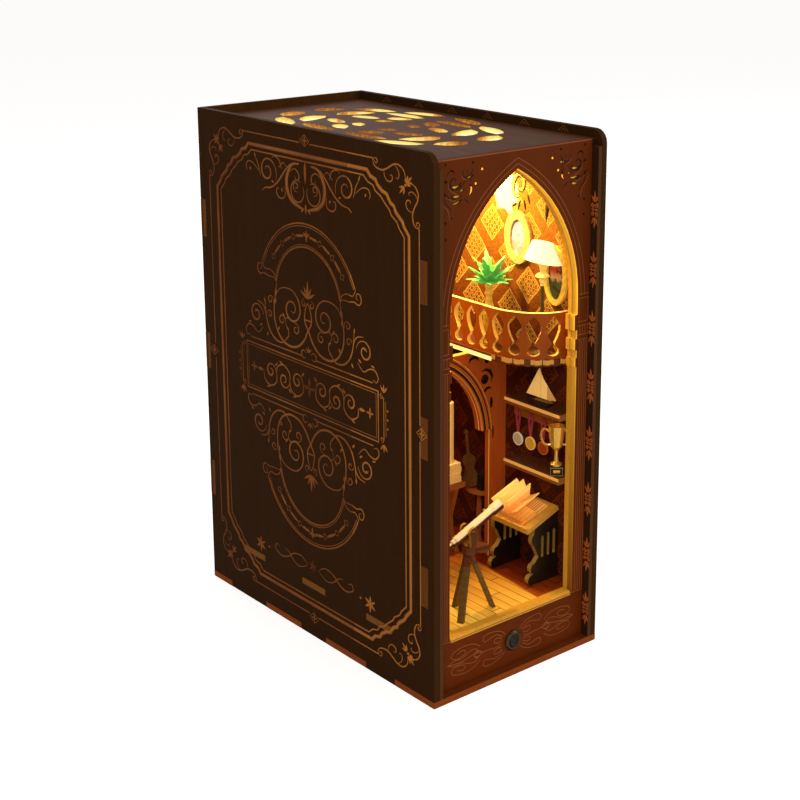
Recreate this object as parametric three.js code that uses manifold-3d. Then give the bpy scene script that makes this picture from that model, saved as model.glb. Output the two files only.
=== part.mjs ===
// A lit book nook: a sheet wood case the size of a thick book, with a pointed arch in its
// spine that looks into a furnished reading room on two floors.
//
// Lengths are millimetres. X runs across the spine, Y from the front to the back, Z up.
// The origin is the middle of the footprint, on the surface that the case stands on.

import * as THREE from "three";
import { mergeVertices } from "three/addons/utils/BufferGeometryUtils.js";
import Module from "manifold-3d";

const wasm = await Module();
wasm.setup();

// Case
const caseWidth = 98;
const caseDepth = 174;
const caseHeight = 240;
const coverSheet = 3;
const linerSheet = 2;
const baseSheet = 3;
const frontSheet = 3;
const topSheet = 3;
const floorSheet = 3;
const frontRecess = 4;
const topRecess = 4;
const plinthTop = 25;
const floorLevel = 27;
const coverCorner = 6;
const halfWidth = caseWidth / 2;
const frontEdge = -caseDepth / 2;
const rearEdge = caseDepth / 2;

// Clearances
const seam = 0.1;
const tabPlay = 0.15;
const running = 0.3;
const overrun = 2;
const weldDistance = 0.0001;
const degree = Math.PI / 180;

// Tabs that key the sheets together
const sideTab = { length: 18.3, first: 54.2, pitch: 66.3, count: 3 };
const floorTab = { length: 18, pitch: 49, count: 3 };
const baseTabShares = [[-0.5, -0.345], [-0.225, -0.052], [0.062, 0.23], [0.405, 0.5]];

// Front arch
const archMargin = { side: 12, spring: 73, apex: 12 };
const arch = {
  half: halfWidth - archMargin.side,
  spring: caseHeight - archMargin.spring,
  apex: caseHeight - archMargin.apex,
  frameInset: 0.7,
  steps: 12,
};
const capital = { depth: 1.6 };
const capitalShares = [[0.77, 0.8, 0.45], [0.825, 0.862, 0.7], [0.89, 0.94, 1]];
const sill = { height: 2 };
const piercing = { steps: 4, dot: 1.1, dotSides: 6, eyeWidth: 2.4, eyeHeight: 1.3 };
// Scroll cuts in an upper corner of the arch panel: distance from its side and from its top, radius,
// first angle and sweep in degrees, width.
const cornerScrolls = [
  [9.8, 8.5, 3.4, 200, 130, 1.1],
  [10.8, 8.8, 7, 250, 50, 1],
  [8.6, 11.6, 7, 228, 47, 1],
  [16.8, 4.5, 4, 228, 57, 0.9],
  [7.2, 6.4, 1.9, -20, 220, 0.7],
  [15.2, 13.4, 2.9, 120, 110, 0.8],
];
// Dots beside them: distance from the side and from the top. The first is the oval eye.
const cornerDots = [
  [13.4, 13.4], [4.3, 2], [4.3, 9], [4.3, 14.5], [4.3, 25.8], [4.4, 32.6], [18.9, 2.6], [23.9, 5.8], [20.4, 11.4],
];

// Pierced top panel
const rosetteMargin = { side: 7.5, front: 23.5, rear: 14 };
const rosette = {
  half: halfWidth - rosetteMargin.side,
  long: (caseDepth - rosetteMargin.front - rosetteMargin.rear) / 2,
  middleY: (rosetteMargin.front - rosetteMargin.rear) / 2,
  steps: 5,
};

// Push button in the plinth
const button = {
  height: 14.5,
  flangeRadius: 4.6,
  flangeSheet: 1.2,
  barrelRadius: 3.9,
  barrelLength: 7.2,
  capRadius: 2.8,
  capLength: 4.4,
  capStand: 0.4,
  capDish: 0.5,
  travel: 1.5,
  nutRadius: 5.6,
  nutSheet: 1.8,
  bodyWidth: 10,
  bodyDepth: 13,
  sides: 20,
};

// Battery bay behind the plinth
const cell = { radius: 7.1, length: 49.5, nubRadius: 2.7, nubLength: 1, sides: 14 };
const tray = { endRoom: 3.75, depth: 32, height: 17, wall: 1.2 };
const trayHalf = (cell.length + cell.nubLength) / 2 + tray.endRoom;
const door = { ledge: 2, rise: 1.6, fingerRadius: 5, fingerSteps: 8 };

// Light under the top
const diffuser = { sheet: 1 };
const board = { fromSide: 31, fromFront: 65, radius: 10, sheet: 1.1 };
const lens = { radius: 4, height: 2 };
const lead = { radius: 0.7, sides: 5, corner: 4, inset: 2.4, stepShare: 2.1 };

// Gallery
const gallerySetback = { side: 28.7, curve: 43, front: 15.5 };
const gallery = {
  level: 135,
  edgeX: halfWidth - gallerySetback.side,
  curveY: frontEdge + gallerySetback.curve,
  frontY: frontEdge + gallerySetback.front,
  steps: 12,
};
const dentil = { depth: 0.8, count: 9 };
const railing = { setback: 1.2, sheet: 2, height: 21.5, pitch: 8.6, endGap: 8, rearGap: 5, openingHalf: 3.4 };
// Right half of one opening, from its foot to its tip: shares of the railing's height and of its half width.
const openingShares = [
  [0.06, 0], [0.085, 0.55], [0.14, 0.86], [0.21, 0.8], [0.3, 0.28], [0.35, 0.22],
  [0.46, 0.6], [0.6, 0.93], [0.72, 1], [0.83, 0.62], [0.93, 0],
];

// Arch screen that divides the lower room
const screenMargin = { front: 57, opening: 22, pillar: 15.7, stile: 12.6 };
const screen = {
  y: frontEdge + screenMargin.front,
  sheet: 3,
  half: halfWidth - screenMargin.opening,
  spring: 92.5,
  centreDrop: 2.5,
  apex: 128.8,
  pillarHalf: halfWidth - screenMargin.pillar,
  ribWidth: 6.6,
  ribSheet: 1.5,
  ribGap: 0.4,
  steps: 10,
  stile: halfWidth - screenMargin.stile,
};

// Shelves on the right wall
const shelf = { reach: 17.5, rearGap: 12, upperTop: 111.3, lowerTop: 81, sheet: 3, nosing: 0.6 };
const rail = { top: 103, height: 3.6, sheet: 1.5, fromFront: 49.5, length: 27, pegRadius: 0.5 };
const medal = {
  fromFront: 45.7,
  pitch: 8.5,
  count: 3,
  eyeRadius: 1.5,
  eyeBore: 0.8,
  ribbonWidth: 0.85,
  ribbonSpread: 1.45,
  drop: 13,
  radius: 3.2,
  sheet: 0.7,
  sides: 18,
};
const trophy = {
  fromSide: 13.2,
  fromFront: 14.4,
  base: 6,
  baseHeight: 4.4,
  height: 19,
  rimRadius: 3.8,
  recess: 1.6,
  handleReach: 7.2,
  handleRadius: 0.55,
  turn: -0.7,
  sides: 14,
};
const cupShares = [
  [0, 0.72], [0.04, 0.72], [0.1, 0.3], [0.26, 0.2], [0.36, 0.24], [0.48, 0.72], [0.7, 0.9], [1, 1],
];
const boat = {
  fromSide: 12.7,
  fromFront: 26,
  hullLength: 17,
  hullBeam: 5,
  hullHeight: 3,
  mastRadius: 0.4,
  mastHeight: 15.6,
  sailSheet: 0.5,
  sailGap: 0.15,
};

// Pictures on the upper right wall, whose rise is a share of the height between the gallery and the ceiling
const picture = { sheet: 1.6, recess: 0.9, steps: 18 };
const rearPicture = { fromFront: 49, rise: 0.509, width: 17.5, height: 25, rim: 4 };
const frontPicture = { fromFront: 24, rise: 0.373, width: 15, height: 28, rim: 2.6 };

// Table lamp on the gallery
const lamp = {
  fromSide: 12.6,
  fromFront: 25.8,
  footRadius: 4.2,
  footHeight: 2,
  poleRadius: 0.9,
  knobRadius: 3.4,
  knobRise: 36.8,
  shadeRise: 43.6,
  shadeHeight: 8.8,
  shadeWidth: 23,
  shadeDepth: 9,
  shadeTop: 0.56,
  shadeWall: 0.8,
  bulbRadius: 1.6,
  bulbHeight: 5.5,
  sides: 12,
};

// Palm in a vase on the gallery
const palm = {
  fromSide: 19.8,
  fromFront: 53.4,
  vaseHeight: 29,
  vaseRadius: 2.9,
  sides: 12,
  leafCount: 14,
  leafLength: 15.5,
  leafWidth: 4.4,
  leafSheet: 0.6,
  leafSteps: 3,
  leafRise: 0.3,
  leafDroop: 0.34,
  crownRadius: 1.7,
};
// Lift of the leaves in radians and share of their length, for the tiers in turn.
const leafTiers = [[0.25, 0.8], [0.7, 0.92], [1.15, 1]];
const vaseShares = [
  [0, 0.7], [0.05, 0.75], [0.1, 0.45], [0.3, 0.85], [0.55, 1], [0.72, 0.6], [0.8, 0.5],
  [0.85, 0.75], [0.9, 0.55], [1, 0.75],
];

// Lectern and open book
const lecternPlace = { front: 19.5, rear: 47.5, foot: 25, column: 18.5, board: 26.4 };
const lectern = {
  frontY: frontEdge + lecternPlace.front,
  rearY: frontEdge + lecternPlace.rear,
  sideSheet: 2.5,
  footFront: halfWidth - lecternPlace.foot,
  footLength: 19,
  footHeight: 10.5,
  columnX: halfWidth - lecternPlace.column,
  columnWidth: 12,
  slotWidth: 1.6,
  slotPitch: 3.7,
  slotLow: 39.5,
  slotHigh: 51,
  boardLow: 53.6,
  boardX: halfWidth - lecternPlace.board,
  boardLength: 21,
  boardSheet: 2,
  boardSlope: 0.35,
  boardOverhang: 1,
  lip: 1.2,
  tieHeight: 4,
  tieLevel: 43,
};
const book = {
  fromFront: 34.2,
  length: 17,
  leafWidth: 11.5,
  coverSheet: 0.8,
  blockSheet: 2,
  leafRoot: 0.9,
  leafTip: 0.5,
};
const leafAngles = [0.72, 1.04, 1.56, 2, 2.6];

// Telescope on its tripod
const scope = {
  fromSide: 62.5,
  fromFront: 18.5,
  axisLevel: 66,
  tilt: 0.39,
  radius: 2.1,
  hoodRadius: 2.5,
  frontLength: 20,
  rearLength: 12,
  hoodLength: 6,
  lensRecess: 1.2,
  pinRadius: 0.8,
  cheekSheet: 1.2,
  cheekRadius: 2.4,
  forkSheet: 1.3,
  forkRadius: 2.5,
  sides: 14,
};
const tripod = {
  headLevel: 55.4,
  headHeight: 3.6,
  headRadius: 3.2,
  legWidth: 3,
  legSheet: 1.7,
  trayReach: 6.3,
  trayRadius: 4.6,
  traySheet: 1.4,
  spread: 10,
  sides: 12,
};
const tripodFootShares = [[-0.95, -0.57], [1.19, -0.28], [-0.09, 0.8]];

// Furniture behind the screen
const deskPlace = { left: 63, right: 21.5, front: 67.5 };
const desk = {
  leftX: halfWidth - deskPlace.left,
  rightX: halfWidth - deskPlace.right,
  frontY: frontEdge + deskPlace.front,
  depth: 20,
  top: 63.5,
  sheet: 2.6,
  legSheet: 2.6,
  legWaist: 5,
  overhang: 2,
};
const books = {
  fromSide: 29.4,
  fromFront: 73,
  length: 12,
  width: 9,
  sheet: 2.5,
  count: 4,
  shift: 0.8,
};
const scroll = { fromSide: 28.6, fromFront: 73, radius: 3.4, height: 30, bore: 1.9, sides: 12 };
const ledge = {
  fromSide: 8.5,
  fromFront: 72,
  radius: 9,
  top: 56.5,
  sheet: 2.4,
  steps: 10,
  legRadius: 1.3,
};
const violin = {
  fromSide: 11.4,
  fromFront: 74,
  length: 29,
  bodyShare: 0.58,
  lowerRadius: 4.2,
  upperRadius: 3.3,
  sheet: 2.4,
  neckWidth: 1.4,
  tilt: 0.16,
  steps: 12,
};
const clock = {
  fromSide: 9.4,
  fromFront: 66.4,
  width: 5.6,
  height: 7.6,
  depth: 3,
  dialRadius: 2,
  dialSheet: 0.5,
};

// Places worked out from the sizes above
for (const thing of [board, trophy, boat, lamp, palm, scope, books, scroll, ledge, violin, clock]) {
  thing.x = halfWidth - thing.fromSide;
  thing.y = frontEdge + thing.fromFront;
}
const coverInner = halfWidth - coverSheet;
const betweenCovers = coverInner - seam;
const wallX = betweenCovers - linerSheet;
const betweenWalls = wallX - seam;
const frontFace = frontEdge + frontRecess;
const frameFace = frontFace + frontSheet + seam;
const roomFront = frameFace + linerSheet + seam;
const backInner = rearEdge - linerSheet - seam - linerSheet;
const roomRear = backInner - seam;
const topFace = caseHeight - topRecess;
const topUnder = topFace - topSheet;
const sheetTop = topUnder - seam;
const baseTop = baseSheet + seam;
const underFloor = floorLevel - floorSheet;
const galleryUnder = gallery.level - floorSheet;

// Materials, one for every mesh
const looks = {
  cover: { color: "#2b1d16", roughness: 0.62, metalness: 0 },
  panel: { color: "#4a2213", roughness: 0.55, metalness: 0 },
  gilt: { color: "#c98a2c", roughness: 0.42, metalness: 0.2 },
  wallpaper: { color: "#8a3214", roughness: 0.7, metalness: 0 },
  planks: { color: "#b97434", roughness: 0.55, metalness: 0 },
  wood: { color: "#6e3517", roughness: 0.5, metalness: 0 },
  darkWood: { color: "#2a1a10", roughness: 0.5, metalness: 0 },
  paper: { color: "#f0dcb0", roughness: 0.8, metalness: 0 },
  gold: { color: "#d8a52c", roughness: 0.28, metalness: 0.9 },
  silver: { color: "#cfc9b8", roughness: 0.3, metalness: 0.9 },
  bronze: { color: "#b4562a", roughness: 0.35, metalness: 0.85 },
  leaf: { color: "#3fa04a", roughness: 0.5, metalness: 0 },
  ivory: { color: "#efe2b6", roughness: 0.45, metalness: 0 },
  black: { color: "#141312", roughness: 0.45, metalness: 0 },
  steel: { color: "#6d6a66", roughness: 0.35, metalness: 0.9 },
  glow: { color: "#fff2cf", roughness: 0.5, metalness: 0 },
  green: { color: "#1f5a36", roughness: 0.6, metalness: 0 },
  copperTop: { color: "#b87a3c", roughness: 0.4, metalness: 0.3 },
};

// Solids

function bare(geometry) {
  const loose = geometry.index ? geometry.toNonIndexed() : geometry.clone();
  for (const name of Object.keys(loose.attributes)) {
    if (name !== "position") loose.deleteAttribute(name);
  }
  const merged = mergeVertices(loose, weldDistance);
  const corners = merged.index.array;
  const kept = [];
  for (let i = 0; i < corners.length; i += 3) {
    const [a, b, c] = [corners[i], corners[i + 1], corners[i + 2]];
    if (a !== b && b !== c && c !== a) kept.push(a, b, c);
  }
  if (volumeOf(merged.attributes.position, kept) < 0) kept.reverse();
  merged.setIndex(kept);
  return merged;
}

function volumeOf(position, corners) {
  const [a, b, c] = [new THREE.Vector3(), new THREE.Vector3(), new THREE.Vector3()];
  let sum = 0;
  for (let i = 0; i < corners.length; i += 3) {
    a.fromBufferAttribute(position, corners[i]);
    b.fromBufferAttribute(position, corners[i + 1]);
    c.fromBufferAttribute(position, corners[i + 2]);
    sum += a.dot(b.cross(c));
  }
  return sum;
}

function solid(geometry) {
  const closed = bare(geometry);
  return new wasm.Manifold(new wasm.Mesh({
    numProp: 3,
    vertProperties: Float32Array.from(closed.attributes.position.array),
    triVerts: Uint32Array.from(closed.index.array),
  }));
}

function geometryOf(body) {
  const mesh = body.getMesh();
  const geometry = new THREE.BufferGeometry();
  geometry.setAttribute("position", new THREE.BufferAttribute(mesh.vertProperties, 3));
  geometry.setIndex(Array.from(mesh.triVerts));
  return geometry;
}

function join(first, ...others) {
  return geometryOf(others.reduce((body, other) => body.add(solid(other)), solid(first)));
}

function cut(first, ...tools) {
  return geometryOf(tools.reduce((body, tool) => body.subtract(solid(tool)), solid(first)));
}

function common(first, second) {
  return geometryOf(solid(first).intersect(solid(second)));
}

function slab([x0, x1], [y0, y1], [z0, z1]) {
  const box = new THREE.BoxGeometry(x1 - x0, y1 - y0, z1 - z0);
  return box.translate((x0 + x1) / 2, (y0 + y1) / 2, (z0 + z1) / 2);
}

function prism(points, depth) {
  return new THREE.ExtrudeGeometry(new THREE.Shape(points), { depth, bevelEnabled: false });
}

// A sheet with its piercings cut right through.
function pierced(points, depth, holes) {
  const tools = holes.map((hole) => prism(hole, depth + 2 * overrun).translate(0, 0, -overrun));
  return cut(prism(points, depth), ...tools);
}

// A solid of revolution about Z, from pairs of radius and height.
function turned(pairs, sides) {
  const profile = pairs.map(([radius, height]) => new THREE.Vector2(radius, height));
  return new THREE.LatheGeometry(profile, sides).rotateX(Math.PI / 2);
}

// A closed profile from shares of a height and of a radius.
function turnedShares(shares, height, radius) {
  const outside = shares.map(([up, out]) => [out * radius, up * height]);
  return [[0, outside[0][1]], ...outside, [0, outside.at(-1)[1]]];
}

function arc(x, y, radius, start, end, steps) {
  return Array.from({ length: steps + 1 }, (_, i) => {
    const angle = start + (end - start) * i / steps;
    return new THREE.Vector2(x + radius * Math.cos(angle), y + radius * Math.sin(angle));
  });
}

function oval(x, y, width, height, steps) {
  return Array.from({ length: steps }, (_, i) => {
    const angle = 2 * Math.PI * i / steps;
    return new THREE.Vector2(x + width / 2 * Math.cos(angle), y + height / 2 * Math.sin(angle));
  });
}

// A horn: an arc whose width swells from nothing at both ends.
function horn(x, y, radius, start, sweep, width, steps) {
  const side = (sign) => Array.from({ length: steps + 1 }, (_, i) => {
    const angle = start + sweep * i / steps;
    const reach = radius + sign * width / 2 * Math.sin(Math.PI * i / steps);
    return new THREE.Vector2(x + reach * Math.cos(angle), y + reach * Math.sin(angle));
  });
  return [...side(1), ...side(-1).slice(1, -1).reverse()];
}

const mirrorX = (points) => points.map((point) => new THREE.Vector2(-point.x, point.y)).reverse();
const mirrorY = (points) => points.map((point) => new THREE.Vector2(point.x, -point.y)).reverse();

// Radius and centre offset of a pointed arch made of two arcs.
function archArcs(half, rise) {
  const offset = (rise * rise - half * half) / (2 * half);
  return { offset, radius: half + offset, sweep: Math.atan2(rise, offset) };
}

// Right arc of a pointed arch from its springing to the apex, grown outwards by a margin.
function archSide(half, spring, apex, margin, steps) {
  const { offset, radius } = archArcs(half, apex - spring);
  const end = Math.acos(offset / (radius + margin));
  return arc(-offset, spring, radius + margin, 0, end, steps);
}

function bothSides(right) {
  return [...right, ...mirrorX(right).slice(1)];
}

// Scene graph

const bookNook = new THREE.Group();
// Sheets that stand across X: their own X is the world's Y and their own Y is its Z.
const sidePlane = new THREE.Group();
sidePlane.quaternion.set(0.5, 0.5, 0.5, 0.5);
// Sheets that stand across Y: their own Y is the world's Z and they grow to the front.
const frontPlane = new THREE.Group();
frontPlane.rotation.x = Math.PI / 2;
bookNook.add(sidePlane, frontPlane);

function piece(name, geometry, look, parent = bookNook) {
  const mesh = new THREE.Mesh(bare(geometry), new THREE.MeshStandardMaterial(look));
  mesh.name = name;
  parent.add(mesh);
  return mesh;
}

// Spans of the tabs

function evenSpans(count, length, centreOf) {
  return Array.from({ length: count }, (_, i) => {
    const centre = centreOf(i);
    return [centre - length / 2, centre + length / 2];
  });
}

const sideTabSpans = evenSpans(sideTab.count, sideTab.length, (i) => sideTab.first + i * sideTab.pitch);
const floorTabSpans = evenSpans(
  floorTab.count, floorTab.length, (i) => (i - (floorTab.count - 1) / 2) * floorTab.pitch,
);
const baseTabSpans = baseTabShares.map(([a, b]) => [a * caseDepth, b * caseDepth]);
const loosen = ([low, high]) => [low - tabPlay, high + tabPlay];

// Case

function coverSlots(throughDepth) {
  const front = sideTabSpans.map((span) => slab(
    loosen([frontFace, frameFace + linerSheet]), loosen(span), throughDepth,
  ));
  const floor = floorTabSpans.map((span) => slab(
    loosen(span), loosen([underFloor, floorLevel]), throughDepth,
  ));
  return [...front, ...floor];
}

function addCovers() {
  const outline = [
    new THREE.Vector2(rearEdge, 0),
    new THREE.Vector2(rearEdge, caseHeight),
    ...arc(frontEdge + coverCorner, caseHeight - coverCorner, coverCorner, Math.PI / 2, Math.PI, 5),
    new THREE.Vector2(frontEdge, 0),
  ];
  const through = [-overrun, coverSheet + overrun];
  const rear = sideTabSpans.map((span) => slab(
    [backInner - tabPlay, rearEdge + overrun], loosen(span), through,
  ));
  const base = baseTabSpans.map(([low, high]) => slab(
    [low === frontEdge ? low - overrun : low - tabPlay, high === rearEdge ? high + overrun : high + tabPlay],
    [-overrun, baseSheet + tabPlay],
    through,
  ));
  const sheet = cut(prism(outline, coverSheet), ...coverSlots(through), ...rear, ...base);
  piece("left_cover", sheet, looks.cover, sidePlane).position.z = -halfWidth;
  piece("right_cover", sheet, looks.cover, sidePlane).position.z = coverInner;
}

function addWallLiners() {
  const blank = slab([frontEdge, roomRear], [baseTop, sheetTop], [0, linerSheet]);
  const sheet = cut(blank, ...coverSlots([-overrun, linerSheet + overrun]));
  piece("left_wall_liner", sheet, looks.wallpaper, sidePlane).position.z = -betweenCovers;
  piece("right_wall_liner", sheet, looks.wallpaper, sidePlane).position.z = wallX;
}

function addBase() {
  const tabs = baseTabSpans.map((span) => slab([-halfWidth, halfWidth], span, [0, baseSheet]));
  const plate = slab([-betweenCovers, betweenCovers], [frontEdge, rearEdge], [0, baseSheet]);
  piece("base_plate", join(plate, ...tabs), looks.panel);
}

// Tabs of an upright cross sheet, through the liners and covers, in the front plane.
function crossTabs(sheet) {
  const root = betweenWalls - overrun;
  return sideTabSpans.flatMap((span) => [
    slab([-halfWidth, -root], span, [0, sheet]), slab([root, halfWidth], span, [0, sheet]),
  ]);
}

function jamb(half) {
  const tall = arch.spring - plinthTop;
  const steps = capitalShares.flatMap(([low, high, out]) => {
    const inner = half - capital.depth * out;
    const [a, b] = [plinthTop + low * tall, plinthTop + high * tall];
    return [[half, a], [inner, a], [inner, b], [half, b]];
  });
  return [[half, plinthTop - overrun], ...steps].map(([x, y]) => new THREE.Vector2(x, y));
}

function archOpening(half) {
  const curve = archSide(half, arch.spring, arch.apex - arch.half + half, 0, arch.steps);
  return bothSides([...jamb(half), ...curve]);
}

// Scrolls and dots let into an upper corner of the arch panel.
function cornerPiercings() {
  const { steps, dot, dotSides, eyeWidth, eyeHeight } = piercing;
  const scrolls = cornerScrolls.map(([side, top, radius, start, sweep, width]) => horn(
    betweenWalls - side, topFace - top, radius, start * degree, sweep * degree, width, steps,
  ));
  const dots = cornerDots.map(([side, top], i) => oval(
    betweenWalls - side, topFace - top, i === 0 ? eyeWidth : dot, i === 0 ? eyeHeight : dot, dotSides,
  ));
  return [...scrolls, ...dots];
}

function addFront() {
  const bounds = (top) => [
    new THREE.Vector2(-betweenWalls, plinthTop + seam),
    new THREE.Vector2(betweenWalls, plinthTop + seam),
    new THREE.Vector2(betweenWalls, top),
    new THREE.Vector2(-betweenWalls, top),
  ];
  const corners = cornerPiercings();
  const holes = [...corners, ...corners.map(mirrorX)];
  const panel = join(
    pierced(bounds(topFace), frontSheet, [...holes, archOpening(arch.half)]), ...crossTabs(frontSheet),
  );
  piece("front_arch_panel", panel, looks.panel, frontPlane).position.z = -frontFace - frontSheet;
  const frameHalf = arch.half - arch.frameInset;
  const frame = join(pierced(bounds(sheetTop), linerSheet, [archOpening(frameHalf)]), ...crossTabs(linerSheet));
  piece("front_arch_frame", frame, looks.gilt, frontPlane).position.z = -frameFace - linerSheet;

  const bore = 2 * (button.barrelRadius + running);
  const hole = prism(oval(0, button.height, bore, bore, button.sides), frontSheet + 2 * overrun);
  const plinth = cut(
    slab([-betweenWalls, betweenWalls], [baseTop, plinthTop], [0, frontSheet]),
    hole.translate(0, 0, -overrun),
  );
  piece("plinth_board", plinth, looks.panel, frontPlane).position.z = -frontFace - frontSheet;

  const sillEnd = frameHalf - seam;
  const depth = roomFront - seam - frontFace;
  const strip = prism([
    new THREE.Vector2(0, 0),
    new THREE.Vector2(depth, 0),
    new THREE.Vector2(depth, sill.height),
    new THREE.Vector2(sill.height / 2, sill.height),
    new THREE.Vector2(0, sill.height / 2),
  ], 2 * sillEnd);
  const bar = piece("door_sill", strip, looks.gilt, sidePlane);
  bar.position.set(frontFace, plinthTop + seam, -sillEnd);
}

function addBack() {
  const opening = (half, top, sheet) => slab(
    [-half, half], [-overrun, top], [-overrun, sheet + overrun],
  );
  const linerHalf = trayHalf + running;
  const linerTop = baseTop + tray.height + running;
  const doorHalf = linerHalf + door.ledge;
  const doorTop = linerTop + door.rise;
  const liner = cut(
    join(slab([-betweenCovers, betweenCovers], [baseTop, sheetTop], [0, linerSheet]), ...crossTabs(linerSheet)),
    opening(linerHalf, linerTop, linerSheet),
  );
  piece("back_wall_liner", liner, looks.wallpaper, frontPlane).position.z = -backInner - linerSheet;
  const back = cut(
    join(slab([-betweenCovers, betweenCovers], [baseTop, caseHeight], [0, linerSheet]), ...crossTabs(linerSheet)),
    opening(doorHalf + running, doorTop + running, linerSheet),
  );
  piece("back_panel", back, looks.cover, frontPlane).position.z = -rearEdge;

  const finger = arc(0, 0, door.fingerRadius, 2 * Math.PI, Math.PI, door.fingerSteps)
    .map((point) => new THREE.Vector2(point.x, point.y + doorTop - baseTop));
  const leaf = prism([
    new THREE.Vector2(doorHalf, doorTop - baseTop),
    ...finger,
    new THREE.Vector2(-doorHalf, doorTop - baseTop),
    new THREE.Vector2(-doorHalf, running),
    new THREE.Vector2(doorHalf, running),
  ], linerSheet);
  piece("battery_door", leaf, looks.cover, frontPlane).position.set(0, baseTop, -rearEdge);
}

// Openings of one quarter of the rosette, which follow arcs of its oval: middle radius, half width, first and
// last angle in degrees, and how far they curl inwards. The lengths are shares of the oval's half axes.
const rosetteShares = [
  [0.9, 0.08, 3, 27, 0.05],
  [0.89, 0.085, 31, 57, -0.04],
  [0.9, 0.08, 61, 85.5, 0.05],
  [0.68, 0.08, 5, 38, -0.09],
  [0.67, 0.08, 45, 83, 0.1],
  [0.45, 0.08, 8, 37, 0.08],
  [0.44, 0.08, 45, 77, -0.08],
  [0.24, 0.06, 20, 64, 0.04],
];

// A closed opening along an arc of the unit circle, pointed at both ends.
function arcOpening([middle, wide, first, last, curl], steps) {
  const side = (sign) => Array.from({ length: steps + 1 }, (_, i) => {
    const t = i / steps;
    const angle = (first + (last - first) * t) * degree;
    const reach = middle + curl * (0.5 - t) + sign * wide * Math.sqrt(Math.sin(Math.PI * t));
    return new THREE.Vector2(reach * Math.cos(angle), reach * Math.sin(angle));
  });
  return [...side(1), ...side(-1).slice(1, -1).reverse()];
}

function rosetteHoles() {
  const { half, long, middleY, steps } = rosette;
  const right = rosetteShares.map((shares) => arcOpening(shares, steps)
    .map((point) => new THREE.Vector2(point.x * half, point.y * long)));
  const upper = [...right, ...right.map(mirrorX)];
  return [...upper, ...upper.map(mirrorY)]
    .map((hole) => hole.map((point) => new THREE.Vector2(point.x, point.y + middleY)));
}

function addTop() {
  // Its front edge lies behind the arch panel, and two ears beside that panel cover the liners.
  const rear = rearEdge - linerSheet - seam;
  const ear = betweenWalls + seam;
  const right = [
    new THREE.Vector2(ear, frameFace),
    new THREE.Vector2(ear, frontFace),
    new THREE.Vector2(betweenCovers, frontFace),
    new THREE.Vector2(betweenCovers, rear),
  ];
  const outline = [...right, ...mirrorX(right)];
  piece("top_panel", pierced(outline, topSheet, rosetteHoles()), looks.cover).position.z = topUnder;
  const sheet = slab([-betweenWalls, betweenWalls], [roomFront, roomRear], [0, diffuser.sheet]);
  piece("light_diffuser", sheet, looks.glow).position.z = sheetTop - diffuser.sheet;
}

function addFloors() {
  const tabs = floorTabSpans.map((span) => slab([-halfWidth, halfWidth], span, [0, floorSheet]));
  const notch = lead.inset + 2 * lead.radius + running;
  const floor = cut(
    join(slab([-betweenWalls, betweenWalls], [roomFront, roomRear], [0, floorSheet]), ...tabs),
    slab([-betweenWalls - seam, notch - betweenWalls], [roomRear - notch, roomRear + seam],
      [-overrun, floorSheet + overrun]),
  );
  piece("room_floor", floor, looks.planks).position.z = underFloor;
  piece("gallery_floor", prism(galleryOutline(), floorSheet), looks.gilt).position.z = galleryUnder;
}

// Gallery

function galleryCurve(setback, steps) {
  const across = betweenWalls - gallery.edgeX - setback;
  const along = gallery.curveY - gallery.frontY - setback;
  return Array.from({ length: steps + 1 }, (_, i) => {
    const angle = Math.PI / 2 * i / steps;
    return new THREE.Vector2(
      betweenWalls - across * Math.cos(angle), gallery.curveY - along * Math.sin(angle),
    );
  });
}

// The floor's edge follows the curve in small steps, as a row of dentils.
function galleryOutline() {
  const steps = 2 * dentil.count;
  const plain = galleryCurve(0, steps);
  const proud = galleryCurve(-dentil.depth, steps);
  const edge = [];
  for (let i = 0; i < steps; i += 1) {
    const run = i % 2 === 0 ? proud : plain;
    edge.push(run[i], run[i + 1]);
  }
  for (const point of edge) point.x = Math.min(point.x, betweenWalls);
  return [
    new THREE.Vector2(betweenWalls, roomRear),
    new THREE.Vector2(gallery.edgeX, roomRear),
    ...edge,
    new THREE.Vector2(betweenWalls, edge.at(-1).y),
  ];
}

// Points and headings at even steps along the railing, from the back wall to the right wall.
function railingRoute() {
  const curve = galleryCurve(railing.setback, gallery.steps * 2);
  return [new THREE.Vector2(gallery.edgeX + railing.setback, roomRear), ...curve];
}

function ribbonOutline(route, width) {
  const side = (sign) => route.map((point, i) => {
    const before = route[Math.max(i - 1, 0)];
    const after = route[Math.min(i + 1, route.length - 1)];
    const along = after.clone().sub(before).normalize();
    return new THREE.Vector2(point.x - sign * along.y * width / 2, point.y + sign * along.x * width / 2);
  });
  return [...side(1), ...side(-1).reverse()].map(
    (point) => new THREE.Vector2(Math.min(point.x, betweenWalls), Math.min(point.y, roomRear)),
  );
}

function alongRoute(route, distance) {
  let left = distance;
  for (let i = 1; i < route.length; i += 1) {
    const step = route[i].distanceTo(route[i - 1]);
    if (left <= step) return route[i - 1].clone().lerp(route[i], left / step);
    left -= step;
  }
  return route.at(-1).clone();
}

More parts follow.
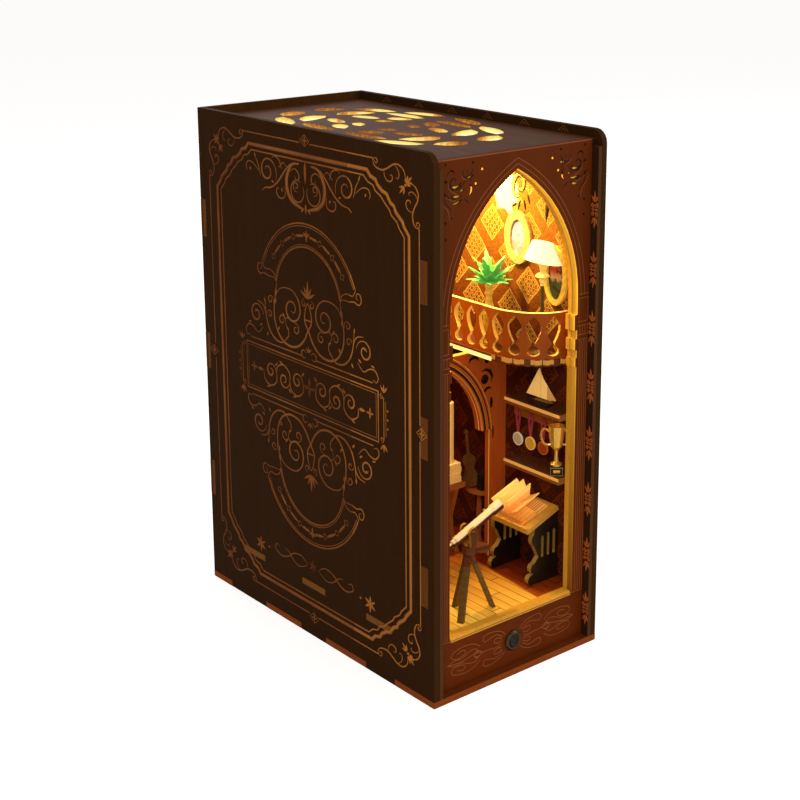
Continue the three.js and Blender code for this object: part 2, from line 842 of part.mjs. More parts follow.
// A bent sheet with a row of vase-shaped openings, set out from the right wall.
function addRailing() {
  const route = railingRoute();
  const length = route.slice(1).reduce((sum, point, i) => sum + point.distanceTo(route[i]), 0);
  const blank = prism(ribbonOutline(route, railing.sheet), railing.height);
  const right = openingShares.map(([up, out]) => new THREE.Vector2(
    out * railing.openingHalf, up * railing.height,
  ));
  const opening = [...right, ...mirrorX(right).slice(1, -1)];
  const tool = prism(opening, 2 * railing.sheet + 2 * overrun).rotateX(Math.PI / 2)
    .translate(0, railing.sheet + overrun, 0);
  const count = Math.floor((length - railing.endGap - railing.rearGap) / railing.pitch) + 1;
  const tools = Array.from({ length: count }, (_, i) => {
    const distance = length - railing.endGap - i * railing.pitch;
    const place = alongRoute(route, distance);
    const ahead = alongRoute(route, distance + railing.pitch / 4).sub(place);
    return tool.clone().rotateZ(Math.atan2(ahead.y, ahead.x)).translate(place.x, place.y, 0);
  });
  piece("gallery_railing", cut(blank, ...tools), looks.wood).position.z = gallery.level + seam;
}

// Arch screen

function screenArcs(margin) {
  const spring = screen.spring - screen.centreDrop;
  const { offset, radius } = archArcs(screen.half, screen.apex - spring);
  const start = Math.asin(screen.centreDrop / (radius + margin));
  return (end) => arc(-offset, spring, radius + margin, start, end ?? Math.acos(offset / (radius + margin)),
    screen.steps);
}

function screenPiercings() {
  const { stile, ribWidth, half } = screen;
  const top = galleryUnder - seam;
  const gap = stile - half - ribWidth;
  const u = ribWidth;
  return [
    oval(stile - u * 0.95, top - u * 2.25, u * 0.75, u * 0.75, 8),
    horn(stile - u * 0.95, top - u * 2.25, u * 0.72, -0.5, 2.6, u * 0.28, 4),
    horn(stile - u * 2.0, top - u * 0.9, u * 0.5, 0.2, 2.8, u * 0.28, 4),
    horn(stile - u * 0.6, top - u * 3.35, u * 0.42, 0.6, 2.9, u * 0.26, 4),
    oval(stile - u * 0.75, top - u * 0.8, u * 0.5, u * 0.7, 6),
    oval(stile - u * 0.3, top - u * 4.1, u * 0.3, u * 0.9, 6),
    oval(stile - gap * 0.28, screen.spring - u * 0.4, gap * 0.35, u * 1.1, 6),
  ];
}

function addScreen() {
  const top = galleryUnder - seam;
  const bottom = floorLevel + seam;
  const opening = bothSides([
    new THREE.Vector2(screen.pillarHalf, bottom - overrun),
    new THREE.Vector2(screen.pillarHalf, screen.spring),
    ...screenArcs(0)(),
  ]);
  const right = screenPiercings();
  const bounds = [
    new THREE.Vector2(-betweenWalls, bottom),
    new THREE.Vector2(betweenWalls, bottom),
    new THREE.Vector2(betweenWalls, top),
    new THREE.Vector2(-betweenWalls, top),
  ];
  const panel = pierced(bounds, screen.sheet, [opening, ...right, ...right.map(mirrorX)]);
  piece("arch_screen", panel, looks.wood, frontPlane).position.z = -screen.y - screen.sheet;

  const rib = common(
    cut(
      prism(bothSides([new THREE.Vector2(screen.half + screen.ribWidth, screen.spring - overrun),
        ...screenArcs(screen.ribWidth)()]), screen.ribSheet),
      prism(bothSides([new THREE.Vector2(screen.half + screen.ribGap, screen.spring - 2 * overrun),
        ...screenArcs(screen.ribGap)()]), screen.ribSheet + 2 * overrun).translate(0, 0, -overrun),
    ),
    slab([-halfWidth, halfWidth], [screen.spring, top], [0, screen.ribSheet]),
  );
  piece("screen_rib", rib, looks.gilt, frontPlane).position.z = -screen.y + seam;
}

// Shelves, medals, trophy and boat

function addShelves() {
  const [front, rear] = [roomFront, screen.y - shelf.rearGap];
  const shelfFront = halfWidth - shelf.reach;
  for (const [name, top] of [["upper_shelf", shelf.upperTop], ["lower_shelf", shelf.lowerTop]]) {
    const profile = [
      new THREE.Vector2(betweenWalls, 0),
      new THREE.Vector2(betweenWalls, shelf.sheet),
      new THREE.Vector2(shelfFront, shelf.sheet),
      new THREE.Vector2(shelfFront, shelf.sheet - shelf.nosing * 2),
      new THREE.Vector2(shelfFront + shelf.nosing, shelf.sheet - shelf.nosing * 2),
      new THREE.Vector2(shelfFront + shelf.nosing, 0),
    ];
    const plank = piece(name, prism(profile, rear - front), looks.planks, frontPlane);
    plank.position.set(0, top - shelf.sheet, -rear);
  }
}

function addMedals() {
  const pegLevel = rail.top - rail.height / 2;
  const railRear = frontEdge + rail.fromFront;
  const pegFront = betweenWalls - rail.sheet - medal.sheet - 3 * running;
  const bar = slab(
    [betweenWalls - rail.sheet, betweenWalls], [railRear - rail.length, railRear],
    [rail.top - rail.height, rail.top],
  );
  const first = frontEdge + medal.fromFront;
  const places = Array.from({ length: medal.count }, (_, i) => first - i * medal.pitch);
  const pegs = places.map((y) => turned(
    [[0, 0], [rail.pegRadius, 0], [rail.pegRadius, betweenWalls - pegFront], [0, betweenWalls - pegFront]], 8,
  ).rotateY(Math.PI / 2).translate(pegFront, y, pegLevel));
  const hangers = rail.top + seam;
  const posts = [places[0], places.at(-1)].map((y) => slab(
    [betweenWalls - rail.sheet, betweenWalls], [y - rail.sheet, y + rail.sheet],
    [hangers - overrun, shelf.upperTop - shelf.sheet - seam],
  ));
  piece("medal_rail", join(bar, ...pegs, ...posts), looks.wood);
  const metals = [looks.silver, looks.gold, looks.bronze];
  places.forEach((y, i) => {
    const mesh = piece(`medal_${i + 1}`, medalBody(), metals[i % metals.length], sidePlane);
    mesh.position.set(y, pegLevel, pegFront + running);
  });
}

// A disc on two straps that meet at an eye round the peg, which is at the local origin.
function medalBody() {
  const { eyeRadius, eyeBore, drop, radius, sheet, sides, ribbonWidth, ribbonSpread } = medal;
  const strap = (sign) => prism([
    new THREE.Vector2(sign * ribbonSpread + ribbonWidth / 2, 0),
    new THREE.Vector2(sign * ribbonSpread - ribbonWidth / 2, 0),
    new THREE.Vector2(-ribbonWidth / 2, radius - drop - seam),
    new THREE.Vector2(ribbonWidth / 2, radius - drop - seam),
  ], sheet);
  return cut(
    join(
      prism(oval(0, 0, 2 * eyeRadius, 2 * eyeRadius, 10), sheet),
      strap(1),
      strap(-1),
      prism(oval(0, -drop, 2 * radius, 2 * radius, sides), sheet),
    ),
    prism(oval(0, 0, 2 * eyeBore, 2 * eyeBore, 8), sheet + 2 * overrun).translate(0, 0, -overrun),
  );
}

function addTrophy() {
  const stand = new THREE.Group();
  stand.position.set(trophy.x, trophy.y, shelf.lowerTop + seam);
  bookNook.add(stand);
  const half = trophy.base / 2;
  const block = slab([-half, half], [-half, half], [0, trophy.baseHeight]);
  piece("trophy_base", block, looks.black, stand).rotation.z = trophy.turn;

  const outside = cupShares.map(([up, out]) => [out * trophy.rimRadius, up * trophy.height]);
  const lip = trophy.rimRadius * 0.8;
  const bowl = turned(
    [[0, 0], ...outside, [lip, trophy.height], [lip, trophy.height - trophy.recess],
      [0, trophy.height - trophy.recess]],
    trophy.sides,
  );
  const handle = (sign) => {
    const top = trophy.height * 0.9;
    const low = trophy.height * 0.52;
    const path = new THREE.CatmullRomCurve3([
      [trophy.rimRadius * 0.85, top - trophy.handleRadius * 2],
      [trophy.handleReach * 0.78, top + trophy.handleRadius],
      [trophy.handleReach, (top * 2 + low) / 3],
      [trophy.handleReach * 0.72, low],
      [trophy.rimRadius * 0.55, low],
    ].map(([out, up]) => new THREE.Vector3(sign * out, 0, up)));
    const ring = oval(0, 0, 2 * trophy.handleRadius, 2 * trophy.handleRadius, 5);
    return new THREE.ExtrudeGeometry(new THREE.Shape(ring), { steps: 9, extrudePath: path });
  };
  const cup = piece("trophy_cup", join(bowl, handle(1), handle(-1)), looks.gold, stand);
  cup.position.z = trophy.baseHeight + seam;
  cup.rotation.z = trophy.turn;
}

function addBoat() {
  const model = new THREE.Group();
  model.position.set(boat.x, boat.y, shelf.upperTop + seam);
  bookNook.add(model);
  const [long, beam, high] = [boat.hullLength / 2, boat.hullBeam / 2, boat.hullHeight];
  const side = prism([
    new THREE.Vector2(-long * 0.72, 0),
    new THREE.Vector2(long * 0.6, 0),
    new THREE.Vector2(long, high),
    new THREE.Vector2(-long * 0.9, high * 0.85),
  ], 2 * beam).rotateX(Math.PI / 2).rotateZ(-Math.PI / 2).translate(beam, 0, 0);
  const plan = prism([
    ...arc(0, 0, 1, -Math.PI / 2, Math.PI / 2, 8).map((p) => new THREE.Vector2(p.x * beam, p.y * long)),
    ...arc(0, 0, 1, Math.PI / 2, 1.5 * Math.PI, 8).slice(1, -1)
      .map((p) => new THREE.Vector2(p.x * beam, p.y * long)),
  ], high + overrun);
  const mast = turned([[0, 0], [boat.mastRadius, 0], [boat.mastRadius, boat.mastHeight],
    [0, boat.mastHeight]], 8).translate(0, 0, high * 0.7);
  piece("boat_hull", join(common(side, plan), mast), looks.darkWood, model);

  const foot = high + 2 * boat.mastRadius;
  const main = prism([
    new THREE.Vector2(long * 0.95, foot),
    new THREE.Vector2(0, high + boat.mastHeight - boat.mastRadius * 3),
    new THREE.Vector2(-long * 0.95, foot),
  ], boat.sailSheet);
  const jib = prism([
    new THREE.Vector2(-long * 0.55, foot),
    new THREE.Vector2(-long * 0.35, high + boat.mastHeight * 0.62),
    new THREE.Vector2(-long * 1.3, foot + boat.mastRadius * 2),
  ], boat.sailSheet);
  const rig = new THREE.Group();
  rig.quaternion.copy(sidePlane.quaternion);
  model.add(rig);
  const away = boat.mastRadius + boat.sailGap;
  piece("boat_sails", join(main, jib), looks.paper, rig).position.z = -away - boat.sailSheet;
}

// Pictures, lamp and palm

function addPictures() {
  const frames = { picture_frame_rear: rearPicture, picture_frame_front: frontPicture };
  for (const [name, { fromFront, rise, width, height, rim }] of Object.entries(frames)) {
    const inner = [width - 2 * rim, height - 2 * rim];
    const ring = cut(
      prism(oval(0, 0, width, height, picture.steps), picture.sheet),
      prism(oval(0, 0, ...inner, picture.steps), picture.recess + overrun).translate(0, 0, -overrun),
    );
    const frame = piece(name, ring, looks.gilt, sidePlane);
    const level = gallery.level + rise * (sheetTop - gallery.level);
    frame.position.set(frontEdge + fromFront, level, betweenWalls - picture.sheet);
  }
}

function addLamp() {
  const post = new THREE.Group();
  post.position.set(lamp.x, lamp.y, gallery.level + seam);
  bookNook.add(post);
  const { knobRise: knob, shadeRise: high } = lamp;
  const stand = turned([
    [0, 0],
    [lamp.footRadius, 0],
    [lamp.footRadius, lamp.footHeight / 2],
    [lamp.footRadius / 2, lamp.footHeight],
    [lamp.poleRadius, lamp.footHeight * 1.5],
    [lamp.poleRadius, knob - lamp.knobRadius],
    [lamp.knobRadius * 0.45, knob - lamp.knobRadius * 0.6],
    [lamp.knobRadius * 0.4, knob - lamp.knobRadius * 0.3],
    [lamp.knobRadius, knob],
    [lamp.knobRadius * 0.8, knob + lamp.knobRadius * 0.25],
    [lamp.knobRadius * 0.35, knob + lamp.knobRadius * 0.6],
    [lamp.knobRadius * 0.5, high - seam],
    [0, high - seam],
  ], lamp.sides);
  piece("lamp_stand", stand, looks.ivory, post);

  const bulb = turned([
    [0, 0],
    [lamp.bulbRadius * 0.6, 0],
    [lamp.bulbRadius, lamp.bulbHeight * 0.5],
    [lamp.bulbRadius * 0.7, lamp.bulbHeight * 0.9],
    [0, lamp.bulbHeight],
  ], 10);
  piece("lamp_bulb", bulb, looks.glow, post).position.z = high + lamp.shadeWall + seam;

  const shade = new THREE.Group();
  shade.position.z = high;
  post.add(shade);
  piece("lamp_shade", shadeBody(), looks.glow, shade);
}

// An oval tapered shade, open below but for a bar across its mouth that the stand carries.
function shadeBody() {
  const { shadeWidth, shadeDepth, shadeHeight, shadeTop, shadeWall, sides } = lamp;
  const cone = (inset, low, high) => turned([[0, low], [1, low], [shadeTop, high], [0, high]], 2 * sides)
    .scale(shadeDepth / 2 - inset, shadeWidth / 2 - inset, 1);
  const reach = (shadeDepth - shadeWall) / 2;
  const bar = slab([-reach, reach], [-lamp.knobRadius / 2, lamp.knobRadius / 2], [0, shadeWall]);
  return join(cut(cone(0, 0, shadeHeight), cone(shadeWall, -seam, shadeHeight - shadeWall)), bar);
}

function leafBody() {
  const { leafLength, leafWidth, leafSheet, leafSteps, leafRise, leafDroop } = palm;
  const half = (sign) => Array.from({ length: leafSteps + 1 }, (_, i) => {
    const t = i / leafSteps;
    const wide = leafWidth / 2 * Math.sin(Math.PI * Math.min(0.12 + t * 0.88, 1)) ** 0.8;
    return new THREE.Vector2(t * leafLength, sign * wide);
  });
  const blade = prism([...half(-1), ...half(1).slice(0, -1).reverse()], leafSheet);
  const position = blade.attributes.position;
  for (let i = 0; i < position.count; i += 1) {
    const t = position.getX(i) / leafLength;
    position.setZ(i, position.getZ(i) + leafLength * (leafRise * t - leafDroop * t * t));
  }
  return blade;
}

function addPalm() {
  const pot = new THREE.Group();
  pot.position.set(palm.x, palm.y, gallery.level + seam);
  bookNook.add(pot);
  const vase = turned(turnedShares(vaseShares, palm.vaseHeight, palm.vaseRadius), palm.sides);
  piece("plant_vase", vase, looks.ivory, pot);

  const crown = turned([
    [0, 0], [palm.crownRadius * 0.7, 0], [palm.crownRadius, palm.crownRadius * 1.4],
    [palm.crownRadius * 0.9, palm.crownRadius * 2.6], [0, palm.crownRadius * 4.6],
  ], 8);
  const leaf = leafBody();
  const leaves = Array.from({ length: palm.leafCount }, (_, i) => {
    const [lift, share] = leafTiers[i % leafTiers.length];
    return leaf.clone().scale(share, 1, share).rotateY(-lift)
      .rotateZ(2 * Math.PI * i * 0.382).translate(0, 0, palm.crownRadius * (0.8 + 0.02 * i));
  });
  piece("palm_leaves", join(crown, ...leaves), looks.leaf, pot).position.z = palm.vaseHeight + seam;
}

// Lectern and book

function lecternSide() {
  const { footFront, footLength, footHeight, columnX, columnWidth, boardX, boardSlope } = lectern;
  const floor = floorLevel + seam;
  const lobe = footHeight / 4;
  const under = (x) => lectern.boardLow + (x - boardX) * Math.tan(boardSlope) - running;
  const footEnd = footFront + footLength;
  const outline = [
    new THREE.Vector2(footFront + lobe, floor),
    new THREE.Vector2(footEnd, floor),
    new THREE.Vector2(footEnd, floor + footHeight),
    new THREE.Vector2(columnX + columnWidth, floor + footHeight),
    new THREE.Vector2(columnX + columnWidth, under(columnX + columnWidth)),
    new THREE.Vector2(columnX - lobe, under(columnX - lobe)),
    ...arc(columnX - lobe * 0.2, (floor + footHeight + under(columnX)) / 2 + lobe * 0.9, lobe * 1.5,
      2.2, 4.1, 5),
    new THREE.Vector2(columnX, floor + footHeight + lobe),
    ...arc(footFront + lobe * 1.6, floor + 3 * lobe, lobe, Math.PI / 2, 1.4 * Math.PI, 4),
    ...arc(footFront + lobe, floor + lobe, lobe, 0.7 * Math.PI, 1.5 * Math.PI, 4).slice(0, -1),
  ];
  const slots = [-1, 0, 1].map((i) => {
    const x = columnX + columnWidth / 2 + i * lectern.slotPitch;
    const r = lectern.slotWidth / 2;
    return [
      ...arc(x, lectern.slotHigh + i * r - r, r, 0, Math.PI, 4),
      ...arc(x, lectern.slotLow + r, r, Math.PI, 2 * Math.PI, 4),
    ];
  });
  return pierced(outline, lectern.sideSheet, slots);
}

function addLectern() {
  const side = lecternSide();
  piece("lectern_side_front", side, looks.darkWood, frontPlane).position.z =
    -lectern.frontY - lectern.sideSheet;
  piece("lectern_side_rear", side, looks.darkWood, frontPlane).position.z = -lectern.rearY;

  const inner = [lectern.frontY + lectern.sideSheet + seam, lectern.rearY - lectern.sideSheet - seam];
  const x = lectern.columnX + lectern.columnWidth / 2 + lectern.slotPitch * 1.5;
  const tie = slab([x - lectern.sideSheet / 2, x + lectern.sideSheet / 2], inner,
    [lectern.tieLevel, lectern.tieLevel + lectern.tieHeight]);
  piece("lectern_tie", tie, looks.darkWood);

  const desktop = new THREE.Group();
  desktop.position.set(lectern.boardX, 0, lectern.boardLow);
  desktop.rotation.y = -lectern.boardSlope;
  bookNook.add(desktop);
  const along = [lectern.frontY - lectern.boardOverhang, lectern.rearY + lectern.boardOverhang];
  const board = join(
    slab([0, lectern.boardLength], along, [0, lectern.boardSheet]),
    slab([0, lectern.lip], along, [0, lectern.boardSheet + lectern.lip]),
  );
  piece("lectern_top", board, looks.gilt, desktop);
  piece("open_book", bookBody(), looks.paper, desktop).position.set(
    lectern.lip + running, frontEdge + book.fromFront, lectern.boardSheet + running,
  );
}

// Covers and page blocks that lie open, with loose leaves that stand up from the spine.
function bookBody() {
  const { length, leafWidth, coverSheet: board, blockSheet, leafRoot, leafTip } = book;
  const covers = slab([0, length], [-leafWidth, leafWidth], [0, board]);
  const block = prism([
    new THREE.Vector2(-leafWidth * 0.94, 0),
    new THREE.Vector2(leafWidth * 0.94, 0),
    new THREE.Vector2(leafWidth * 0.9, blockSheet * 0.7),
    new THREE.Vector2(leafWidth * 0.35, blockSheet * 1.25),
    new THREE.Vector2(0, blockSheet * 0.7),
    new THREE.Vector2(-leafWidth * 0.35, blockSheet * 0.9),
    new THREE.Vector2(-leafWidth * 0.9, blockSheet * 0.5),
  ], length - 2 * board).rotateX(Math.PI / 2).rotateZ(Math.PI / 2).translate(board, 0, board - seam);
  const leaves = leafAngles.map((angle) => prism([
    new THREE.Vector2(0, -leafRoot / 2),
    new THREE.Vector2(leafWidth * 0.9, -leafTip / 2),
    new THREE.Vector2(leafWidth * 0.9, leafTip / 2),
    new THREE.Vector2(0, leafRoot / 2),
  ], length - 2 * board).rotateZ(angle).rotateX(Math.PI / 2).rotateZ(Math.PI / 2)
    .translate(board, 0, board + blockSheet * 0.45));
  return join(covers, block, ...leaves);
}

// Telescope

function addTelescope() {
  const foot = new THREE.Group();
  foot.position.set(scope.x, scope.y, 0);
  bookNook.add(foot);
  piece("telescope_tripod", tripodBody(), looks.wood, foot);

  const forkFoot = tripod.headLevel + tripod.headHeight + running;
  const fork = new THREE.Group();
  fork.position.z = forkFoot;
  foot.add(fork);
  piece("telescope_fork", forkBody(scope.axisLevel - forkFoot), looks.gilt, fork);

  const tube = piece("telescope_tube", tubeBody(), looks.ivory, foot);
  tube.position.z = scope.axisLevel;
  tube.rotation.y = -scope.tilt;
}

function forkBody(rise) {
  const { cheekSheet, cheekRadius, forkSheet, forkRadius, radius, pinRadius, sides } = scope;
  const inside = radius + running;
  const cheek = (sign) => {
    const plate = prism([
      new THREE.Vector2(-cheekRadius * 0.6, 0),
      new THREE.Vector2(cheekRadius * 0.6, 0),
      ...arc(0, rise, cheekRadius, -0.6, Math.PI + 0.6, 10),
    ], cheekSheet);
    return cut(
      plate,
      prism(oval(0, rise, 2 * (pinRadius + running), 2 * (pinRadius + running), 10),
        cheekSheet + 2 * overrun).translate(0, 0, -overrun),
    ).rotateX(Math.PI / 2).translate(0, sign > 0 ? inside + cheekSheet : -inside, 0);
  };
  const plate = turned([[0, 0], [forkRadius, 0], [forkRadius, forkSheet], [0, forkSheet]], sides);
  const bridge = slab([-cheekRadius * 0.6, cheekRadius * 0.6],
    [-inside - cheekSheet, inside + cheekSheet], [0, forkSheet]);
  return join(plate, bridge, cheek(1), cheek(-1));
}

// The tube points along its own X, with the trunnion pin across Y at its origin.
function tubeBody() {
  const { radius, hoodRadius, frontLength, rearLength, hoodLength, lensRecess, pinRadius } = scope;
  const tube = turned([
    [0, -rearLength],
    [radius * 0.5, -rearLength],
    [radius * 0.5, -rearLength + lensRecess * 1.5],
    [radius * 0.8, -rearLength + lensRecess * 1.5],
    [radius * 0.8, -rearLength + lensRecess * 3],
    [radius, -rearLength + lensRecess * 3],
    [radius, frontLength - hoodLength],
    [hoodRadius, frontLength - hoodLength + lensRecess],
    [hoodRadius, frontLength],
    [radius, frontLength],
    [radius, frontLength - lensRecess],
    [0, frontLength - lensRecess],
  ], scope.sides).rotateY(Math.PI / 2);
  const reach = radius + running + scope.cheekSheet;
  const pin = turned([[0, -reach], [pinRadius, -reach], [pinRadius, reach], [0, reach]], 10)
    .rotateX(Math.PI / 2);
  return join(tube, pin);
}

function tripodBody() {
  const { headLevel, headHeight, headRadius, legWidth, legSheet, trayReach, trayRadius, traySheet } = tripod;
  const head = turned([[0, 0], [headRadius, 0], [headRadius, headHeight], [0, headHeight]], tripod.sides)
    .translate(0, 0, headLevel);
  const tray = turned([[0, 0], [trayRadius, 0], [trayRadius, traySheet], [0, traySheet]], tripod.sides)
    .translate(trayReach, 0, headLevel);
  const ground = floorLevel + seam;
  const legs = tripodFootShares.map(([right, back]) => {
    const [x, y] = [right * tripod.spread, back * tripod.spread];
    const rise = headLevel + headHeight / 2 - ground;
    const turn = Math.atan2(y, x);
    const lean = Math.atan2(Math.hypot(x, y), rise);
    const full = Math.hypot(x, y, rise) + legWidth;
    return new THREE.BoxGeometry(legSheet, legWidth, full).translate(0, 0, -full / 2)
      .rotateY(-lean).rotateZ(turn).translate(0, 0, headLevel + headHeight / 2);
  });
  const room = new THREE.BoxGeometry(caseWidth, caseWidth, headLevel + headHeight - ground)
    .translate(0, 0, (headLevel + headHeight + ground) / 2);
  return common(join(head, tray, ...legs), room);
}

// Furniture behind the screen

function addDesk() {
  const [left, right] = [desk.leftX, desk.rightX];
  const rear = desk.frontY + desk.depth;
  const top = slab([left, right], [desk.frontY, rear], [desk.top - desk.sheet, desk.top]);
  const floor = floorLevel + seam;
  const under = desk.top - desk.sheet + seam;
  const [front, back] = [desk.overhang, desk.depth - desk.overhang];
  const middle = (floor + under) / 2;
  const panel = prism([
    new THREE.Vector2(front, floor),
    new THREE.Vector2(back, floor),
    new THREE.Vector2(back - desk.legWaist * 0.8, (floor + middle) / 2),
    new THREE.Vector2(back - desk.legWaist, middle),
    new THREE.Vector2(back, under),
    new THREE.Vector2(front, under),
    new THREE.Vector2(front + desk.legWaist, middle),
    new THREE.Vector2(front + desk.legWaist * 0.8, (floor + middle) / 2),
  ], desk.legSheet).rotateX(Math.PI / 2).rotateZ(Math.PI / 2).translate(0, desk.frontY, 0);
  const legs = [left + desk.overhang, right - desk.overhang - desk.legSheet]
    .map((x) => panel.clone().translate(x, 0, 0));
  piece("writing_desk", join(top, ...legs), looks.wood);

  const level = desk.top + seam;
  const volumes = Array.from({ length: books.count }, (_, i) => {
    const shift = (i % 2 === 0 ? 1 : -1) * books.shift / 2;
    const half = [books.length / 2, books.width / 2 - shift / 2];
    return slab([books.x - half[0] + shift, books.x + half[0] + shift],
      [books.y - half[1], books.y + half[1]], [i * books.sheet, (i + 1) * books.sheet + seam / 2]);
  });
  piece("book_stack", join(...volumes), looks.paper).position.z = level;

  const roll = turned([
    [scroll.bore, 0], [scroll.radius, 0], [scroll.radius, scroll.height], [scroll.bore, scroll.height],
    [scroll.bore, 0],
  ], scroll.sides);
  const onBooks = level + books.count * books.sheet + seam;
  piece("paper_scroll", roll, looks.paper).position.set(scroll.x, scroll.y, onBooks);
}

function addWallLedge() {
  const half = [
    new THREE.Vector2(betweenWalls, ledge.y + ledge.radius),
    ...arc(betweenWalls, ledge.y, ledge.radius, Math.PI / 2, 1.5 * Math.PI, ledge.steps),
  ];
  const seat = prism(half, ledge.sheet).translate(0, 0, ledge.top - ledge.sheet);
  const floor = floorLevel + seam;
  const leg = turned([
    [0, floor], [ledge.legRadius * 1.5, floor], [ledge.legRadius * 0.8, floor + ledge.legRadius * 3],
    [ledge.legRadius * 1.2, (floor + ledge.top) / 2], [ledge.legRadius * 0.8, ledge.top - ledge.sheet * 2],
    [ledge.legRadius * 1.3, ledge.top - ledge.sheet + seam], [0, ledge.top - ledge.sheet + seam],
  ], 8).translate(ledge.x, ledge.y, 0);
  piece("wall_ledge", join(seat, leg), looks.wood);

  piece("violin", violinBody(), looks.wood).position.set(violin.x, violin.y, ledge.top + seam);
  const box = slab([-clock.width / 2, clock.width / 2], [0, clock.depth], [0, clock.height]);
  const stand = new THREE.Group();
  stand.position.set(clock.x, clock.y, ledge.top + seam);
  bookNook.add(stand);
  const dial = prism(oval(0, 0, 2 * clock.dialRadius, 2 * clock.dialRadius, 12), clock.dialSheet + seam)
    .rotateX(Math.PI / 2).translate(0, seam, clock.height - clock.width / 2);
  piece("small_clock", join(box, dial), looks.black, stand);
}

// Body of two rounds with a waist, neck and scroll, leaning back a little.
function violinBody() {
  const { length, bodyShare, lowerRadius, upperRadius, sheet, neckWidth, tilt, steps } = violin;
  const bodyTop = length * bodyShare;
  const upper = bodyTop - upperRadius;
  const right = [
    ...arc(0, lowerRadius, lowerRadius, -Math.PI / 2, 0.62, steps / 2),
    new THREE.Vector2(upperRadius * 0.62, (lowerRadius + upper) / 2 + upperRadius * 0.2),
    ...arc(0, upper, upperRadius, -0.5, 1.2, steps / 3),
    new THREE.Vector2(neckWidth / 2, bodyTop),
    new THREE.Vector2(neckWidth / 2, length * 0.92),
    new THREE.Vector2(neckWidth, length * 0.95),
    new THREE.Vector2(0, length),
  ];
  return prism(bothSides(right).slice(0, -1), sheet).rotateX(Math.PI / 2).rotateZ(-Math.PI / 4)
    .rotateX(-tilt).translate(0, 0, lowerRadius * Math.sin(tilt) * 0.3);
}

// Switch, batteries and light

function addButton() {
  const axis = new THREE.Group();
  axis.position.set(0, button.height, -frontFace);
  frontPlane.add(axis);
  const bore = button.capRadius + running;
  const bezel = turned([
    [bore, button.flangeSheet],
    [button.flangeRadius * 0.86, button.flangeSheet],
    [button.flangeRadius, button.flangeSheet / 2],
    [button.flangeRadius, seam],
    [button.barrelRadius, seam],
    [button.barrelRadius, -button.barrelLength],
    [bore, -button.barrelLength],
    [bore, button.flangeSheet],
  ], button.sides);
  piece("button_bezel", bezel, looks.steel, axis);

  const front = button.flangeSheet + button.capStand;
  const cap = turned([
    [0, front - button.capDish],
    [button.capRadius * 0.45, front - button.capDish],
    [button.capRadius * 0.72, front],
    [button.capRadius * 0.9, front],
    [button.capRadius, front - button.capStand],
    [button.capRadius, front - button.capLength],
    [0, front - button.capLength],
  ], button.sides);
  piece("button_cap", cap, looks.black, axis);

  const nutBore = 2 * (button.barrelRadius + seam);
  const nut = pierced(
    oval(0, 0, 2 * button.nutRadius, 2 * button.nutRadius, 6), button.nutSheet,
    [oval(0, 0, nutBore, nutBore, button.sides)],
  );
  piece("button_nut", nut, looks.steel, axis).position.z = -frontSheet - seam - button.nutSheet;

  const half = button.bodyWidth / 2;
  const body = slab([-half, half], [-half, half], [-button.bodyDepth, 0]);
  piece("switch_body", body, looks.black, axis).position.z = -button.barrelLength - seam;
}

function addBattery() {
  const bay = new THREE.Group();
  bay.position.set(0, roomRear - running, baseTop);
  bookNook.add(bay);
  const [half, deep, wall] = [trayHalf, tray.depth, tray.wall];
  const box = cut(
    slab([-half, half], [-deep, 0], [0, tray.height]),
    slab([wall - half, half - wall], [wall - deep, -wall], [wall, tray.height + overrun]),
  );
  piece("battery_tray", box, looks.black, bay);
  const barrel = turned([
    [0, 0], [cell.radius, 0], [cell.radius, cell.length], [cell.nubRadius, cell.length],
    [cell.nubRadius, cell.length + cell.nubLength], [0, cell.length + cell.nubLength],
  ], cell.sides).rotateY(Math.PI / 2).translate(-(cell.length + cell.nubLength) / 2, 0, 0);
  [["battery_cell_rear", 1], ["battery_cell_front", -1]].forEach(([name, sign]) => {
    const body = piece(name, barrel, looks.copperTop, bay);
    body.position.set(0, -deep / 2 + sign * (cell.radius + seam), tray.wall + running + cell.radius);
    body.rotation.z = sign > 0 ? 0 : Math.PI;
  });
}

function wire(points) {
  const path = new THREE.CurvePath();
  const corner = lead.corner;
  let from = points[0];
  for (let i = 1; i < points.length - 1; i += 1) {
    const before = points[i].clone().sub(points[i - 1]).setLength(corner);
    const after = points[i + 1].clone().sub(points[i]).setLength(corner);
    const [enter, leave] = [points[i].clone().sub(before), points[i].clone().add(after)];
    path.add(new THREE.LineCurve3(from, enter));
    path.add(new THREE.QuadraticBezierCurve3(enter, points[i], leave));
    from = leave;
  }
  path.add(new THREE.LineCurve3(from, points.at(-1)));
  const section = new THREE.Shape(oval(0, 0, 2 * lead.radius, 2 * lead.radius, lead.sides));
  const steps = Math.ceil(path.getLength() / (lead.corner * lead.stepShare));
  return new THREE.ExtrudeGeometry(section, { steps, extrudePath: path });
}

